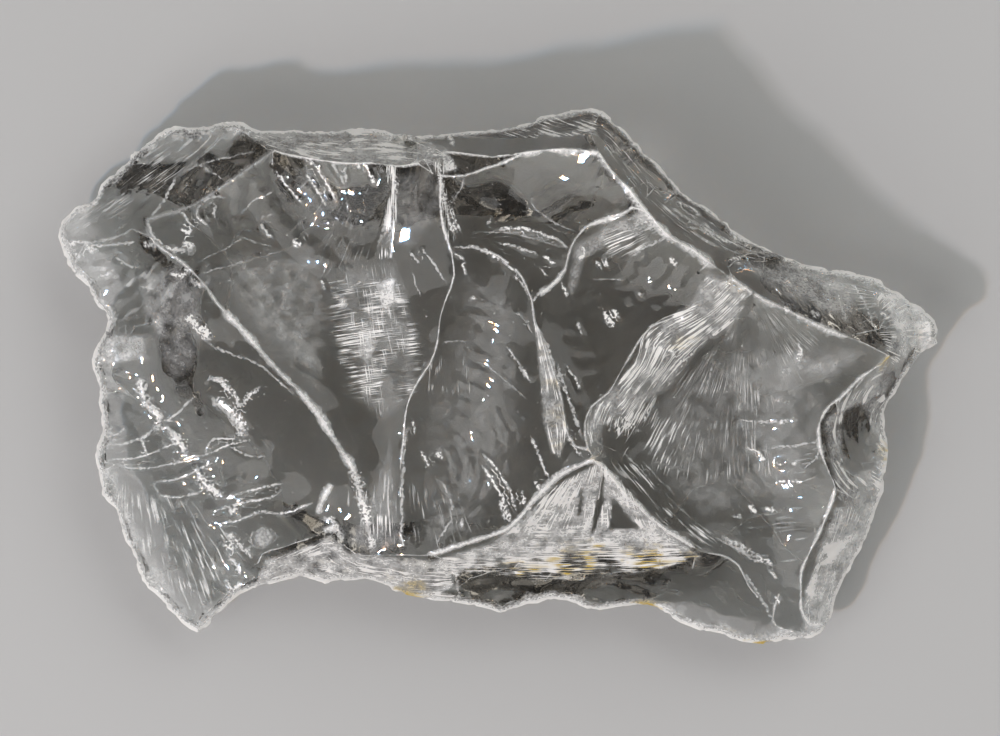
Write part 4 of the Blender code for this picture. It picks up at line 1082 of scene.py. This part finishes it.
class CRYSTAL_OT_stage(Operator):
    """Set a plain pale floor, soft lights and a camera that looks straight down"""

    bl_idname = "crystal.stage"
    bl_label = "Add Stage"

    def execute(self, context):
        look = context.scene.crystal_stage
        plane = bmesh.new()
        bmesh.ops.create_grid(plane, x_segments=1, y_segments=1, size=FLOOR_REACH)
        bmesh.ops.translate(plane, vec=(0, 0, CAD_LOW.z - FLOOR_GAP * MM), verts=plane.verts)
        mesh = bpy.data.meshes.new("floor")
        plane.to_mesh(mesh)
        plane.free()
        floor = bpy.data.objects.new("floor", mesh)
        context.scene.collection.objects.link(floor)
        material, tree = material_nodes("pale floor")
        paint = {"Base Color": (*look.floor_colour, 1), "Roughness": FLOOR_ROUGHNESS}
        shader = add_node(tree, "ShaderNodeBsdfPrincipled", paint)
        tree.links.new(shader.outputs[0], tree.nodes["Material Output"].inputs["Surface"])
        mesh.materials.append(material)
        for name, (place, size, share, colour) in LIGHTS.items():
            soft_light(name, place, size, share * look.key_power, colour)
        context.scene.view_settings.view_transform = "Standard"
        context.scene.view_settings.gamma = GAMMA
        context.scene.view_settings.exposure = EXPOSURE
        world = bpy.data.worlds.new("studio")
        context.scene.world = world
        world.cycles.sampling_method = "NONE"
        world.use_nodes = True
        sky = world.node_tree
        way = add_node(sky, "ShaderNodeTexCoord").outputs["Generated"]
        up = add_node(sky, "ShaderNodeSeparateXYZ", {0: way}).outputs["Z"]
        rising = stretch(sky, up, *SKY_RISE, look.sky_strength)
        level = maths(sky, "MULTIPLY", rising, stretch(sky, up, *SKY_TOP))
        sky.nodes["Background"].inputs["Color"].default_value = (1, 1, 1, 1)
        sky.links.new(level, sky.nodes["Background"].inputs["Strength"])
        camera = bpy.data.cameras.new("camera")
        camera.sensor_width = SENSOR_WIDTH
        camera.lens = camera.sensor_width * look.camera_height / look.view_width
        camera.clip_end = SIGHT
        eye = bpy.data.objects.new("camera", camera)
        aside_x, aside_y = CAMERA_ASIDE
        eye.location = (aside_x * MM, aside_y * MM, CAD_LOW.z + BELT * MM + look.camera_height)
        context.scene.collection.objects.link(eye)
        context.scene.camera = eye
        return {"FINISHED"}


class CRYSTAL_PT_panel(Panel):
    """Lists the crystal's pieces and stage"""

    bl_label = "Andara Crystal"
    bl_idname = "CRYSTAL_PT_panel"
    bl_space_type = "VIEW_3D"
    bl_region_type = "UI"
    bl_category = "Crystal"

    def draw(self, context):
        for look, operator in (("crystal_lump", "crystal.lump"), ("crystal_stage", "crystal.stage")):
            group = getattr(context.scene, look)
            column = self.layout.column()
            for name in group.bl_rna.properties.keys():
                if name not in ("rna_type", "name"):
                    column.prop(group, name)
            self.layout.operator(operator)


CLASSES = (LumpLook, StageLook, CRYSTAL_OT_lump, CRYSTAL_OT_stage, CRYSTAL_PT_panel)


def register():
    """Register the classes and attach the settings to the scene."""
    for kind in CLASSES:
        bpy.utils.register_class(kind)
    bpy.types.Scene.crystal_lump = PointerProperty(type=LumpLook)
    bpy.types.Scene.crystal_stage = PointerProperty(type=StageLook)


def unregister():
    """Take the settings off the scene and unregister the classes."""
    del bpy.types.Scene.crystal_stage
    del bpy.types.Scene.crystal_lump
    for kind in reversed(CLASSES):
        bpy.utils.unregister_class(kind)


def main():
    """Build everything."""
    register()
    bpy.ops.crystal.lump()
    bpy.ops.crystal.stage()


if __name__ == "__main__":
    main()
